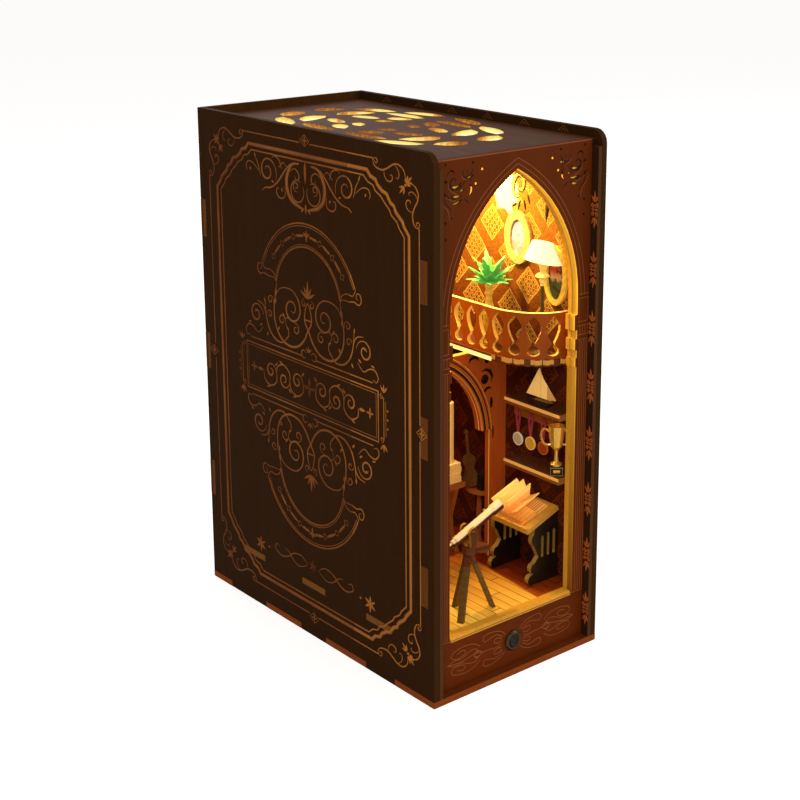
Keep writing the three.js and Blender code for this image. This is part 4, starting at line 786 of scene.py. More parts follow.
@dataclass(frozen=True)
class ScreenWood(Finish):
    """The red arch screen: dark spandrel cuts, a painted highlight along the doorway's arris and the crown, and a
    painted glow all over.
    """

    front: float
    middle: Point = (-14.4, 90.0)
    radius: float = 42.2
    half: float = 34.2
    top: float = 131.9

    def paint(self, b: Bench) -> None:
        """Grain, dark cuts, painted highlight lines round the doorway and along the crown, and a painted glow over the
        whole screen.

        Args:
            b: the bench of its material.
        """
        face, streak, cut, arris = self.tones
        grain = b.noise(620.0, 4.0, 0.6, (1.0, 1.0, 0.1))
        wood, wall = b.mix(grain, face, streak), b.facing(Axis.Y) < 0.7
        x, z = abs(b.x), b.z
        arch = (x - self.middle[0]).hypot(z - self.middle[1]) < self.radius
        inner = arch.either((x < self.half) * (z < self.middle[1] + 3.0))
        # painted highlight: the doorway's front arris and the crown's top take the bright arris tone
        lines = (wall * inner * (b.y < self.front + 0.5) + wall * (z > self.top - 0.4)).clamp()
        colour = b.mix(lines, b.mix(wall, wood, b.mix(inner, cut, wood)), b.fade(grain, arris, 0.5))
        # painted glow: every face shows some light, more on the highlight lines
        b.surface(colour, grain * 0.2 + 0.4, grain, 0.05, b.scaled(colour, lines * 0.3 + 0.22), self.glow, 0.1)


@dataclass(frozen=True)
class MedalFinish(Finish):
    """A medal: a ribbon above, a disc with a bright rim below."""

    y: float
    z: float = 88.2
    radius: float = 3.2

    def paint(self, b: Bench) -> None:
        """Rings on the disc and a weave on the ribbon.

        Args:
            b: the bench of its material.
        """
        disc, rim, ribbon = self.tones
        weave, away = b.noise(1600.0, 2.0), (b.y - self.y).hypot(b.z - self.z)
        beads, cloth = (away * 5.2).wave(), away > self.radius + 0.2
        metal = b.fade((weave * 0.4 + beads * 0.2).clamp(), disc, 0.55)
        metal = b.mix((away - self.radius + 0.55).ramp(0.0, 0.2), metal, rim)
        colour = b.mix(cloth, metal, b.fade(weave, ribbon, 0.5))
        b.surface(colour, weave * 0.2 + cloth * 0.3 + 0.25, beads * 0.6 + weave * 0.4, 0.05,
                  b.scaled(colour, 1.0 - cloth * 0.4), self.glow, 0.4, Metallic=(1.0 - cloth) * 0.45)


@dataclass(frozen=True)
class ShelfBoard(Finish):
    """Room shelf wood with a painted highlight on its front arris and painted shade on its top."""

    front: float
    levels: tuple[float, ...]

    def paint(self, b: Bench) -> None:
        """Grain, the lit front edge and the shaded top.

        Args:
            b: the bench of its material.
        """
        face, streak, arris = self.tones
        grain = b.noise(900.0, 4.0, 0.6, (1.0, 0.08, 1.0))
        wood = b.mix(grain, face, streak)
        near_top, front = sum(abs(b.z - level) < 1.55 for level in self.levels), b.x < self.front + 0.7
        # painted highlight on the upper front edge, painted shade on the top face
        light = (near_top * front).clamp() * (grain * 0.5 + 0.6).clamp()
        shade = (b.side(Axis.Z) > 0.7) * (1.0 - front)
        colour = b.mix(shade, b.mix(light, wood, arris), b.times(wood, (0.3, 0.25, 0.2)))
        b.surface(colour, grain * 0.2 + 0.36, grain, 0.05, b.scaled(colour, light * 0.5 + 0.2), self.glow, 0.35,
                  Coat_Weight=0.2, Coat_Roughness=0.3)


@dataclass(frozen=True)
class Painting(Finish):
    """A gilt oval frame round a small generic painting of blossoms."""

    middle: Point
    half: Point

    def paint(self, b: Bench) -> None:
        """Beaded gilt, and blots of blossom over green inside the oval.

        Args:
            b: the bench of its material.
        """
        gilt, shade, ground, heads, petals, stems = self.tones
        u, v = (b.y - self.middle[0]) / self.half[0], (b.z - self.middle[1]) / self.half[1]
        inside = (u.hypot(v) < 1.0) * (b.facing(Axis.X) > 0.6)
        grain, beads = b.noise(900.0, 3.0, 0.6), ((b.z + b.y) * 1.7).wave()
        gilded = b.mix((grain * 0.6 + beads * 0.35 - 0.2).clamp(), gilt, shade)
        clumps = b.node("ShaderNodeTexVoronoi", {"feature": "F1"}, {"Vector": b.place(), "Scale": 420.0})
        ragged = b.noise(700.0, 3.0, 0.7)
        bunch = 1.0 - ((u * 1.15) * (u * 1.15) + (v - 0.15) * (v - 0.15) * 1.4) ** 0.5
        bloom = ((bunch + ragged * 0.5 - 0.3) > 0.0) * (clumps < 0.62)
        upper = (v + ragged * 0.5 - 0.25).ramp(-0.1, 0.2)
        green = (0.0 - v + ragged * 0.5 - 0.45).ramp(-0.05, 0.1)
        art = b.mix(bloom * (ragged * 1.3).clamp(), b.fade(ragged * 0.5, ground, 0.5), b.mix(upper, petals, heads))
        colour = b.mix(inside, gilded, b.mix(green * (clumps < 0.7), art, stems))
        b.surface(colour, grain * 0.15 + 0.38 + inside * 0.2, grain * 0.5 + beads * 0.5, 0.12,
                  b.scaled(colour, GLOW.share(b) + 0.15), self.glow, 0.4)


@dataclass(frozen=True)
class PaintedTopLight(Finish):
    """One tone shown with painted light above a plane and painted shade below it, as where a tube's top catches the
    light.
    """

    point: Point
    slope: float
    gap: float = 0.22

    def paint(self, b: Bench) -> None:
        """The painted light and shade, the thin line where they meet and fine wear.

        Args:
            b: the bench of its material.
        """
        light, dark, seam = self.tones
        height = b.z - self.point[1] - (b.x - self.point[0]) * self.slope
        grain = b.noise(1100.0, 3.0, 0.6)
        # painted light above the plane, painted shade below it
        colour = b.mix(abs(height + self.gap) < self.gap, b.mix(height > 0.0, dark, light), seam)
        colour = b.mix((grain - 0.3).clamp() * 0.6, colour, b.times(colour, (0.7, 0.6, 0.5)))
        b.surface(colour, grain * 0.2 + 0.24, grain, 0.03, b.scaled(colour, GLOW.share(b) + 0.25), self.glow, 0.1)


@dataclass(frozen=True)
class Stacked(Finish):
    """Two finishes one above the other on a piece, which meet at a level."""

    level: float
    rough: float = 0.4

    def paint(self, b: Bench) -> None:
        """Grain and turned rings in both finishes.

        Args:
            b: the bench of its material.
        """
        low, low_shade, high, high_shade = self.tones
        grain, rings = b.noise(1000.0, 3.0, 0.6), (b.z * 2.1).wave()
        share = (grain * 0.6 + rings * 0.3 - 0.15).clamp()
        colour = b.mix(b.z > self.level, b.mix(share, low, low_shade), b.mix(share, high, high_shade))
        b.surface(colour, share * 0.2 + self.rough, grain * 0.5 + rings * 0.5, 0.05,
                  b.scaled(colour, GLOW.share(b) + 0.2), self.glow, 0.12)


@dataclass(frozen=True)
class SailCloth(Finish):
    """Cream sails with one seam, on a darker jib."""

    seam_y: float
    jib_y: float

    def paint(self, b: Bench) -> None:
        """A weave with faint clouds, the seam and the jib.

        Args:
            b: the bench of its material.
        """
        cloth, shade, seam = self.tones
        weave, cloud = b.noise(1800.0, 2.0, stretch=(1.0, 1.0, 3.0)), b.noise(120.0, 2.0)
        colour = b.mix((cloud * 0.8 + weave * 0.3 - 0.3).clamp(), cloth, shade)
        colour = b.mix((abs(b.y - self.seam_y) < 0.16) * 0.7, colour, seam)
        colour = b.mix((b.y < self.jib_y) * 0.8, colour, seam)
        b.surface(colour, weave * 0.2 + 0.6, weave, 0.04, b.scaled(colour, cloud * 0.3 + 0.7), self.glow, 0.2)


@dataclass(frozen=True)
class OpenPages(Finish):
    """Pages of the open book: standing leaves lit from above, the flat page ruled in plain lines."""

    floor: float
    gutter: float

    def paint(self, b: Bench) -> None:
        """Ruled lines on the flat page, faint waves on the standing leaves, and painted shade low on the leaves that
        gives way to painted light higher up.

        Args:
            b: the bench of its material.
        """
        page, page_in_painted_shade, rule = self.tones
        fibre = b.noise(1300.0, 3.0, 0.6)
        rise = ((b.z - self.floor) / 12.0).clamp()
        flat = (b.side(Axis.Z) > 0.8) * (b.x > self.gutter)
        lines = (b.y / 1.25).fract().ramp(0.3, 0.5) * flat
        waves = (b.y / 2.1).fract().ramp(0.35, 0.6) * (1.0 - flat) * 0.2
        # painted shade low on the leaves, painted light higher up
        colour = b.mix(rise, page_in_painted_shade, page)
        colour = b.mix((lines * 0.8 + waves).clamp(), colour, b.times(colour, rule))
        colour = b.mix((fibre - 0.35).clamp(), colour, b.times(colour, (0.75, 0.62, 0.45)))
        lit = b.scaled(colour, (rise * 0.7 + 0.3) * (1.0 - flat * 0.35))
        b.surface(colour, fibre * 0.2 + 0.6, fibre * 0.4 + lines * 0.6, 0.05, lit, self.glow, 0.2)


@dataclass(frozen=True)
class Carved(Finish):
    """Dark carved wood whose sawn edges catch the light."""

    across: Axis

    def paint(self, b: Bench) -> None:
        """Grain, with light on the edges that face forwards or up.

        Args:
            b: the bench of its material.
        """
        face, streak, edge = self.tones
        grain = b.noise(900.0, 4.0, 0.6, (1.0, 1.0, 0.15))
        front = (0.0 - b.side(Axis.X)).clamp() * 0.42 + b.side(Axis.Z).clamp() * 0.4 + 0.04
        light = (b.facing(self.across) < 0.6) * front * (grain * 0.7 + 0.5)
        colour = b.mix(light, b.mix(grain, face, streak), b.fade(grain * 0.6, edge, 0.5))
        b.surface(colour, grain * 0.2 + 0.28, grain, 0.05, b.scaled(colour, light), self.glow,
                  Coat_Weight=0.3, Coat_Roughness=0.25)


@dataclass(frozen=True)
class LeafGreen(Finish):
    """Palm leaves: dark at the heart, light at the tips."""

    middle: Colour
    reach: float

    def paint(self, b: Bench) -> None:
        """Tones that follow the distance from the heart.

        Args:
            b: the bench of its material.
        """
        leaf, heart, tip = self.tones
        ends = {0: b.place(), 1: dim(self.middle, MM)}
        away = b.node("ShaderNodeVectorMath", {"operation": "DISTANCE"}, ends, "Value") * (1000.0 / self.reach)
        veins = b.noise(1500.0, 3.0, 0.7)
        colour = b.mix((away * 1.3 + veins * 0.4 - 0.45).clamp(), heart, leaf)
        colour = b.mix((away * 1.6 + b.noise(260.0, 2.0) * 0.9 - 1.62).clamp(), colour, tip)
        b.surface(colour, veins * 0.2 + 0.42, veins, 0.08, colour, self.glow, 0.3)


@dataclass(frozen=True)
class Leaves(Finish):
    """Book paper that shows the edges of its leaves."""

    pitch: float

    def paint(self, b: Bench) -> None:
        """Leaf lines on the sides, stains all over.

        Args:
            b: the bench of its material.
        """
        paper, line = self.tones
        edges = (abs((b.z / self.pitch + b.noise(200.0, 2.0) * 0.8).fract() - 0.5)).ramp(0.2, 0.45)
        edges = edges * (b.facing(Axis.Z) < 0.75)
        colour = b.mix(edges * 0.55, paper, line)
        stain = (b.noise(120.0, 3.0, 0.6) - 0.45).clamp() * 0.8
        colour = b.mix(stain, colour, b.times(colour, (0.85, 0.66, 0.4)))
        b.surface(colour, 0.75, 1.0 - edges, 0.08, GLOW.on(b, colour, 0.08), self.glow)


COVER = Veneer(
    "cover_ply", ((0.0425, 0.0148, 0.0026), (0.0265, 0.0095, 0.002), (0.036, 0.014, 0.0035)), 0.0, Axis.X, gloss=0.02
)
COVER_BACK = Veneer(
    "back_ply", ((0.085, 0.031, 0.006), (0.034, 0.0125, 0.0028), (0.06, 0.023, 0.005)), 0.0, Axis.Y, gloss=0.02
)
TOP_HEAT = LampHeat(
    ((-2.0, 46.0, 13.0, 1.0), (22.0, 33.0, 24.0, 1.1), (40.0, 34.0, 22.0, 1.0), (-22.0, -38.0, 22.0, 0.95),
     (29.0, -42.0, 22.0, 1.2), (16.0, -24.0, 12.0, 0.6), (-10.0, 22.0, 14.0, 0.8), (-20.0, 52.0, 26.0, 0.45)),
    ((0.0, (0.1, 0.03, 0.007)), (0.3, (0.3, 0.105, 0.018)), (0.55, (0.68, 0.32, 0.045)), (0.8, (0.98, 0.72, 0.2)),
     (1.0, (1.0, 0.94, 0.56))),
)
TOP = TopSheet(
    "top_ply", ((0.108, 0.036, 0.014), (0.066, 0.022, 0.009), (0.03, 0.011, 0.004)), 0.9, TOP_HEAT, 43.0, -78.0, 83.0
)
DIFFUSER = LitSheet("milk_sheet", ((0.55, 0.4, 0.22),), 1.0, TOP_HEAT)
# third and fourth tones: the gilt in painted shade low down and in painted light high up
PANEL = ArchPanel(
    "arch_ply", ((0.15, 0.0285, 0.0036), (0.08, 0.0155, 0.0022), (0.2, 0.07, 0.008), (0.85, 0.5, 0.045),
                 (0.14, 0.042, 0.006)), 0.8
)
PLINTH = Veneer(
    "plinth_ply", ((0.16, 0.027, 0.0024), (0.085, 0.0145, 0.0016), (0.07, 0.018, 0.004)), 0.0, Axis.Y, Axis.X,
    gloss=0.04
)
BASE = Veneer(
    "base_ply", ((0.15, 0.03, 0.004), (0.08, 0.017, 0.003), (0.2, 0.045, 0.006)), 0.0, Axis.Z, Axis.Y, gloss=0.05
)
# third tone: the painted shade behind the corner cuts
FRAME = Gilt(
    "arch_frame_ply", ((0.66, 0.32, 0.024), (0.4, 0.16, 0.012), (0.012, 0.005, 0.003), (0.14, 0.042, 0.006)), 0.8, 0.12
)
# tones: wood, painted light on the bars, painted highlight on the lip, painted shade on the underside
GALLERY = GalleryEdge(
    "gallery_ply", ((0.14, 0.034, 0.005), (0.6, 0.27, 0.04), (1.0, 0.78, 0.3), (0.1, 0.03, 0.006)), 0.9, -46.0, 135.0
)
BOARD_GILT = Metal("gilt_paint", ((0.62, 0.34, 0.05), (0.32, 0.15, 0.022)), 1.0, 0.38, 0.1)
PAPER_TONES = ((0.2, 0.068, 0.007), (0.075, 0.016, 0.004), (0.56, 0.34, 0.05), (0.23, 0.042, 0.008))
WALL_SIDE = Damask("side_wallpaper", PAPER_TONES, 0.24, Axis.Y)
WALL_BACK = Damask("back_wallpaper", PAPER_TONES, 0.24, Axis.X)
FLOOR = Planks("floor_boards", ((0.76, 0.44, 0.05), (0.46, 0.2, 0.022), (0.2, 0.068, 0.009)), 0.36)
# third tone: the painted highlight on the front arris
SHELF = ShelfBoard(
    "shelf_wood", ((0.25, 0.075, 0.011), (0.14, 0.04, 0.007), (0.72, 0.36, 0.07)), 0.8, 31.5, (111.3, 81.0)
)
# fourth tone of these two screens: the painted highlight along the arris
RED_WOOD = ScreenWood(
    "screen_wood", ((0.42, 0.076, 0.008), (0.25, 0.042, 0.006), (0.012, 0.005, 0.003), (0.75, 0.38, 0.06)), 1.0, -30.0
)
RIB_WOOD = ScreenWood(
    "rib_wood", ((0.4, 0.08, 0.009), (0.23, 0.042, 0.006), (0.5, 0.1, 0.01), (0.7, 0.16, 0.02)), 1.6, -31.6
)
ROOM_WOOD = Veneer(
    "furniture_wood", ((0.25, 0.06, 0.012), (0.13, 0.032, 0.008), (0.3, 0.1, 0.02)), 0.5, Axis.Z, Axis.X, coat=0.2
)
# tones: wood, streak, painted light on the opening walls, painted highlight along the top
RAIL = Balustrade(
    "railing_board", ((0.37, 0.082, 0.004), (0.22, 0.045, 0.003), (0.95, 0.52, 0.08), (0.85, 0.52, 0.12)), 0.9,
    (43.8, -44.0), (23.3, 27.3), 156.6
)
LECTERN = Carved("lectern_wood", ((0.014, 0.008, 0.003), (0.007, 0.004, 0.002), (0.62, 0.34, 0.05)), 0.45, Axis.Y)
HULL = Stacked(
    "boat_paint", ((0.03, 0.014, 0.007), (0.015, 0.008, 0.005), (0.3, 0.15, 0.04), (0.12, 0.06, 0.02)), 0.3, 114.1, 0.3
)
GOLD = Metal("gold_tone", ((0.9, 0.56, 0.1), (0.62, 0.3, 0.04)), 0.3, 0.26, 0.75)
NICKEL = Metal("dark_nickel", ((0.075, 0.06, 0.035), (0.03, 0.024, 0.014)), 0.0, 0.3, 1.0)
RIBBON = (0.42, 0.045, 0.045)
SILVER_MEDAL = MedalFinish("silver_medal", ((0.52, 0.4, 0.21), (0.8, 0.68, 0.44), RIBBON), 0.3, -41.3)
GOLD_MEDAL = MedalFinish("gold_medal", ((0.72, 0.36, 0.03), (0.95, 0.62, 0.16), RIBBON), 0.3, -49.8)
BRONZE_MEDAL = MedalFinish("bronze_medal", ((0.42, 0.055, 0.01), (0.6, 0.14, 0.03), RIBBON), 0.3, -58.3)
BRONZE = Metal("dark_bronze", ((0.26, 0.12, 0.028), (0.03, 0.014, 0.006)), 0.1, 0.2, 0.8)
BLACK = Moulded("black_plastic", ((0.014, 0.01, 0.007), (0.024, 0.017, 0.011)), 0.0, 0.4)
STAND = Stacked(
    "lamp_stand", ((0.075, 0.045, 0.01), (0.045, 0.028, 0.007), (0.8, 0.62, 0.15), (0.55, 0.36, 0.07)), 0.6, 167.5
)
VASE = Stacked(
    "vase_glaze", ((0.6, 0.33, 0.015), (0.34, 0.14, 0.008), (0.72, 0.48, 0.06), (0.42, 0.22, 0.02)), 0.5, 150.0
)
SHADE = Moulded("lamp_shade", ((0.86, 0.76, 0.54), (0.8, 0.62, 0.36)), 0.5, 0.6)
REAR_PICTURE = Painting(
    "rear_picture", ((0.58, 0.37, 0.1), (0.36, 0.19, 0.04), (0.42, 0.36, 0.48), (0.34, 0.2, 0.26), (0.5, 0.38, 0.36),
                     (0.32, 0.24, 0.2)), 0.22, (-38.05, 184.8), (4.75, 8.5)
)
FRONT_PICTURE = Painting(
    "front_picture", ((0.85, 0.56, 0.06), (0.5, 0.26, 0.02), (0.06, 0.016, 0.008), (0.5, 0.045, 0.014),
                      (0.7, 0.42, 0.15), (0.03, 0.075, 0.01)), 0.4, (-63.0, 171.5), (4.9, 11.3)
)
TUBE = PaintedTopLight("tube_paint", ((0.85, 0.66, 0.36), (0.05, 0.015, 0.006), (0.3, 0.08, 0.03)), 0.45, (-15.5, 66.0), 0.411)
LEGS = Stacked(
    "tripod_wood", ((0.16, 0.085, 0.014), (0.07, 0.036, 0.008), (0.14, 0.035, 0.008), (0.07, 0.02, 0.006)), 0.1, 50.0
)
FORK = Veneer("fork_wood", ((0.13, 0.034, 0.004), (0.07, 0.018, 0.003), (0.36, 0.14, 0.015)), 0.0, Axis.Y, rough=0.4)
# second tone: the painted shade low on the leaves
PAGES = OpenPages("book_pages", ((0.95, 0.6, 0.15), (0.72, 0.24, 0.025), (0.42, 0.28, 0.16)), 0.7, 57.0, 31.5)
PAPER = Leaves("book_paper", ((0.9, 0.66, 0.26), (0.45, 0.25, 0.07)), 1.6, 0.9)
SAIL = SailCloth("sail_cloth", ((0.85, 0.56, 0.17), (0.62, 0.34, 0.07), (0.4, 0.2, 0.04)), 0.45, -62.4, -66.5)
CIRCUIT = Moulded("light_board", ((0.03, 0.2, 0.06), (0.02, 0.1, 0.03)), 0.0, 0.4)
WRAP = Moulded("cell_wrap", ((0.4, 0.2, 0.06), (0.25, 0.12, 0.04)), 0.0, 0.3)
RUBBER = Moulded("wire_rubber", ((0.02, 0.02, 0.02), (0.03, 0.028, 0.026)), 0.0, 0.5)
FOIL = Foil("cover_foil", ((0.56, 0.19, 0.02), (0.16, 0.036, 0.003)), 0.0, 0.2)
ETCH = Foil("etched_line", ((0.33, 0.1, 0.024), (0.22, 0.062, 0.015)), 0.0, 0.1, 0.5)
STRIP = Foil("strip_print", ((0.4, 0.095, 0.014), (0.2, 0.04, 0.008)), 0.0, 0.0, 0.55)
# gilt lines, and painted highlights on the rib's edges
GILT_AND_HIGHLIGHT_LINE = Foil("gilt_and_highlight_line", ((0.85, 0.46, 0.08), (0.6, 0.27, 0.04)), 0.0, 0.1, 0.4)
WALL_GILT = Foil("wall_gilt", ((0.8, 0.52, 0.1), (0.5, 0.28, 0.04)), 0.0, 0.0, 0.5)
# burnt curls, and painted shade in grooves and under the wall scroll
DARK_LINE = Foil("burnt_and_shade_line", ((0.022, 0.008, 0.004), (0.035, 0.012, 0.005)), 0.0, 0.0, 0.6)
PALM = LeafGreen(
    "palm_frond", ((0.13, 0.44, 0.09), (0.075, 0.33, 0.055), (0.25, 0.52, 0.13)), 0.38, (29.7, -33.7, 164.6), 17.0
)


# Line drawing


def arc(cx: float, cy: float, radius: float, start: float, sweep: float, steps: int = 14) -> list[Point]:
    """Points on an arc, with its angles in degrees."""
    turns = [math.radians(start + sweep * i / steps) for i in range(steps + 1)]
    return [(cx + radius * math.cos(a), cy + radius * math.sin(a)) for a in turns]


def volute(
    cx: float, cy: float, radius: float, start: float, sweep: float, end: float = 0.25, steps: int = 26
) -> list[Point]:
    """Points on a spiral that winds in.

    Args:
        cx: middle, across.
        cy: middle, up.
        radius: radius at the outer end.
        start: angle of the outer end in degrees.
        sweep: how far it turns, in degrees, with its sign.
        end: share of the radius that is left at the inner end.
        steps: number of steps.

    Returns:
        The points.
    """
    shares = [i / steps for i in range(steps + 1)]
    return [arc(cx, cy, radius * end ** t, start + sweep * t, 0.0, 1)[0] for t in shares]


def smooth(flat: Sequence[float], steps: int = 5) -> list[Point]:
    """A Catmull-Rom curve through points, which are given as x, y, x, y and so on.

    Args:
        flat: the points' numbers.
        steps: steps from one point to the next.

    Returns:
        The curve's points.
    """
    points = list(zip(flat[::2], flat[1::2]))
    ends = [points[0], *points, points[-1]]
    out: list[Point] = []
    for a, b, c, d in zip(ends, ends[1:], ends[2:], ends[3:]):
        for t in (j / steps for j in range(steps)):
            out.append(tuple(
                0.5 * (2 * q + (r - p) * t + (2 * p - 5 * q + 4 * r - s) * t * t + (3 * q - p - 3 * r + s) * t ** 3)
                for p, q, r, s in zip(a, b, c, d)
            ))
    return [*out, points[-1]]


def added(name: str, data: Any) -> bpy.types.Object:
    """A new object with some data, in the scene.

    Args:
        name: its name.
        data: its mesh, curve, lamp or camera.

    Returns:
        The object.
    """
    made = bpy.data.objects.new(name, data)
    bpy.context.scene.collection.objects.link(made)
    return made


Row = Sequence[float]


@dataclass
class LineWork:
    """Fine low ridges on one upright face, set down in millimetres across and up."""

    origin: Vector
    across: Vector
    relief: float
    strokes: list[tuple[list[Point], list[float], bool]] = field(default_factory=list)

    def line(self, points: Sequence[Point], width: float, swell: bool = False, closed: bool = False) -> None:
        """Draws one line.

        Args:
            points: its points, across and up.
            width: its greatest width.
            swell: whether it thins out to both ends.
            closed: whether it closes on its start.
        """
        last = max(len(points) - 1, 1)
        shares = [0.35 + 0.65 * math.sin(math.pi * i / last) if swell else 1.0 for i in range(len(points))]
        self.strokes.append((list(points), [width * share for share in shares], closed))

    def straight(self, *rows: Row, closed: bool = False) -> None:
        """Draws lines with corners, each given as its width and then x, y, x, y and so on."""
        for width, *flat in rows:
            self.line(list(zip(flat[::2], flat[1::2])), width, closed=closed)

    def curves(self, *rows: Row, swell: bool = True, steps: int = 5) -> None:
        """Draws curves, each given as its width and then x, y, x, y and so on."""
        for width, *flat in rows:
            self.line(smooth(flat, steps), width, swell)

    def spirals(self, *rows: Row, swell: bool = True) -> None:
        """Draws spirals, each given as its width and then what volute takes."""
        for width, *spiral in rows:
            self.line(volute(*spiral), width, swell)

    def dot(self, x: float, y: float, radius: float) -> None:
        """Draws a filled dot."""
        self.line(arc(x, y, radius / 2, 0, 360, 8)[:-1], radius, closed=True)

    def leaf(self, x: float, y: float, length: float, width: float, *angles: float) -> None:
        """Draws filled leaves that start at one point, one for each angle.

        Args:
            x: the point, across.
            y: the point, up.
            length: a leaf's length.
            width: its greatest width.
            angles: the leaves' directions in degrees.
        """
        steps = [i / 6 for i in range(7)]
        widths = [max(width * math.sin(math.pi * min(t ** 0.8, 1.0)), width * 0.06) for t in steps]
        for turn in map(math.radians, angles):
            points = [(x + t * length * math.cos(turn), y + t * length * math.sin(turn)) for t in steps]
            self.strokes.append((points, widths, False))

    def leaves(self, *rows: Row) -> None:
        """Draws leaves, each given as what leaf takes."""
        for row in rows:
            self.leaf(*row)

    def mirrored(self, start: int = 0) -> None:
        """Repeats the strokes from a number on, on the other side of the upright middle line."""
        self.strokes += [([(-x, y) for x, y in points], *rest) for points, *rest in self.strokes[start:]]

    def flipped(self, middle: float, start: int = 0) -> None:
        """Repeats the strokes from a number on, on the other side of a level line."""
        self.strokes += [([(x, 2 * middle - y) for x, y in points], *rest) for points, *rest in self.strokes[start:]]

    def build(self, name: str) -> bpy.types.Object:
        """Makes the drawing a mesh on its face.

        Args:
            name: the piece's name.

        Returns:
            The piece.
        """
        curve = bpy.data.curves.new(name + "_curve", "CURVE")
        curve.dimensions, curve.twist_mode = "3D", "Z_UP"
        curve.bevel_depth, curve.bevel_resolution, curve.use_fill_caps = 1.0, 0, True
        for points, widths, closed in self.strokes:
            spline = curve.splines.new("POLY")
            spline.points.add(len(points) - 1)
            for target, (x, y), width in zip(spline.points, points, widths):
                target.co = (x, y, 0.0, 1.0)
                target.radius = width / 2
            spline.use_cyclic_u = closed
        holder = added(name + "_holder", curve)
        bpy.context.view_layer.update()
        mesh = bpy.data.meshes.new_from_object(holder.evaluated_get(bpy.context.evaluated_depsgraph_get()))
        bpy.data.objects.remove(holder)
        up = Vector((0.0, 0.0, 1.0))
        out = self.across.cross(up).normalized()
        place = Matrix((self.across * MM, up * MM, out * MM * self.relief)).transposed().to_4x4()
        place.translation = self.origin
        mesh.transform(place)
        mesh.name = name
        return added(name, mesh)


# Workshop: dressing nodes and setting down pieces


class Workshop:
    """Keeps each finish's one material, dresses the frame's nodes and sets down new pieces."""

    def __init__(self, nodes: dict[str, bpy.types.Object]) -> None:
        """Takes the frame's nodes."""
        self.nodes = nodes
        self.made: dict[str, bpy.types.Material] = {}

    def paint(self, piece: bpy.types.Object, finish: Finish) -> None:
        """Gives a piece the one material of a finish.

        Args:
            piece: the piece or node.
            finish: the finish.
        """
        if finish.name not in self.made:
            self.made[finish.name] = finish.material()
        piece.data.materials.clear()
        piece.data.materials.append(self.made[finish.name])

    def dress(self, *outfits: tuple[Finish, str]) -> None:
        """Gives frame nodes their finishes. A text with spaces names the nodes.

        Args:
            outfits: finishes, each with its nodes.
        """
        for finish, names in outfits:
            for name in names.split():
                self.paint(self.nodes[name], finish)
                LOG.info("dressed %s in %s", name, finish.name)

    def round_off(self, name: str, edge: float) -> None:
        """Rounds the edges of a frame node by a width in millimetres.

        Args:
            name: the node.
            edge: the width.
        """
        modifiers = self.nodes[name].modifiers
        modifiers.new("weld", "WELD").merge_threshold = WELD
        bevel = modifiers.new("edge", "BEVEL")
        bevel.width, bevel.segments = edge * MM, 2
        bevel.limit_method, bevel.angle_limit = "ANGLE", SHARP

    def set_down(self, piece: bpy.types.Object, finish: Finish, slot: str, *replaced: str) -> None:
        """Finishes a new piece that rides on the case.

        Args:
            piece: the piece, in place.
            finish: its finish.
            slot: the record's material slot; not used.
            replaced: frame nodes that it stands for.
        """
        self.paint(piece, finish)
        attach(piece, "case")
        if replaced:
            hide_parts(*replaced)
        LOG.info("set down %s, %d faces", piece.name, len(piece.data.polygons))


# Sub-assemblies


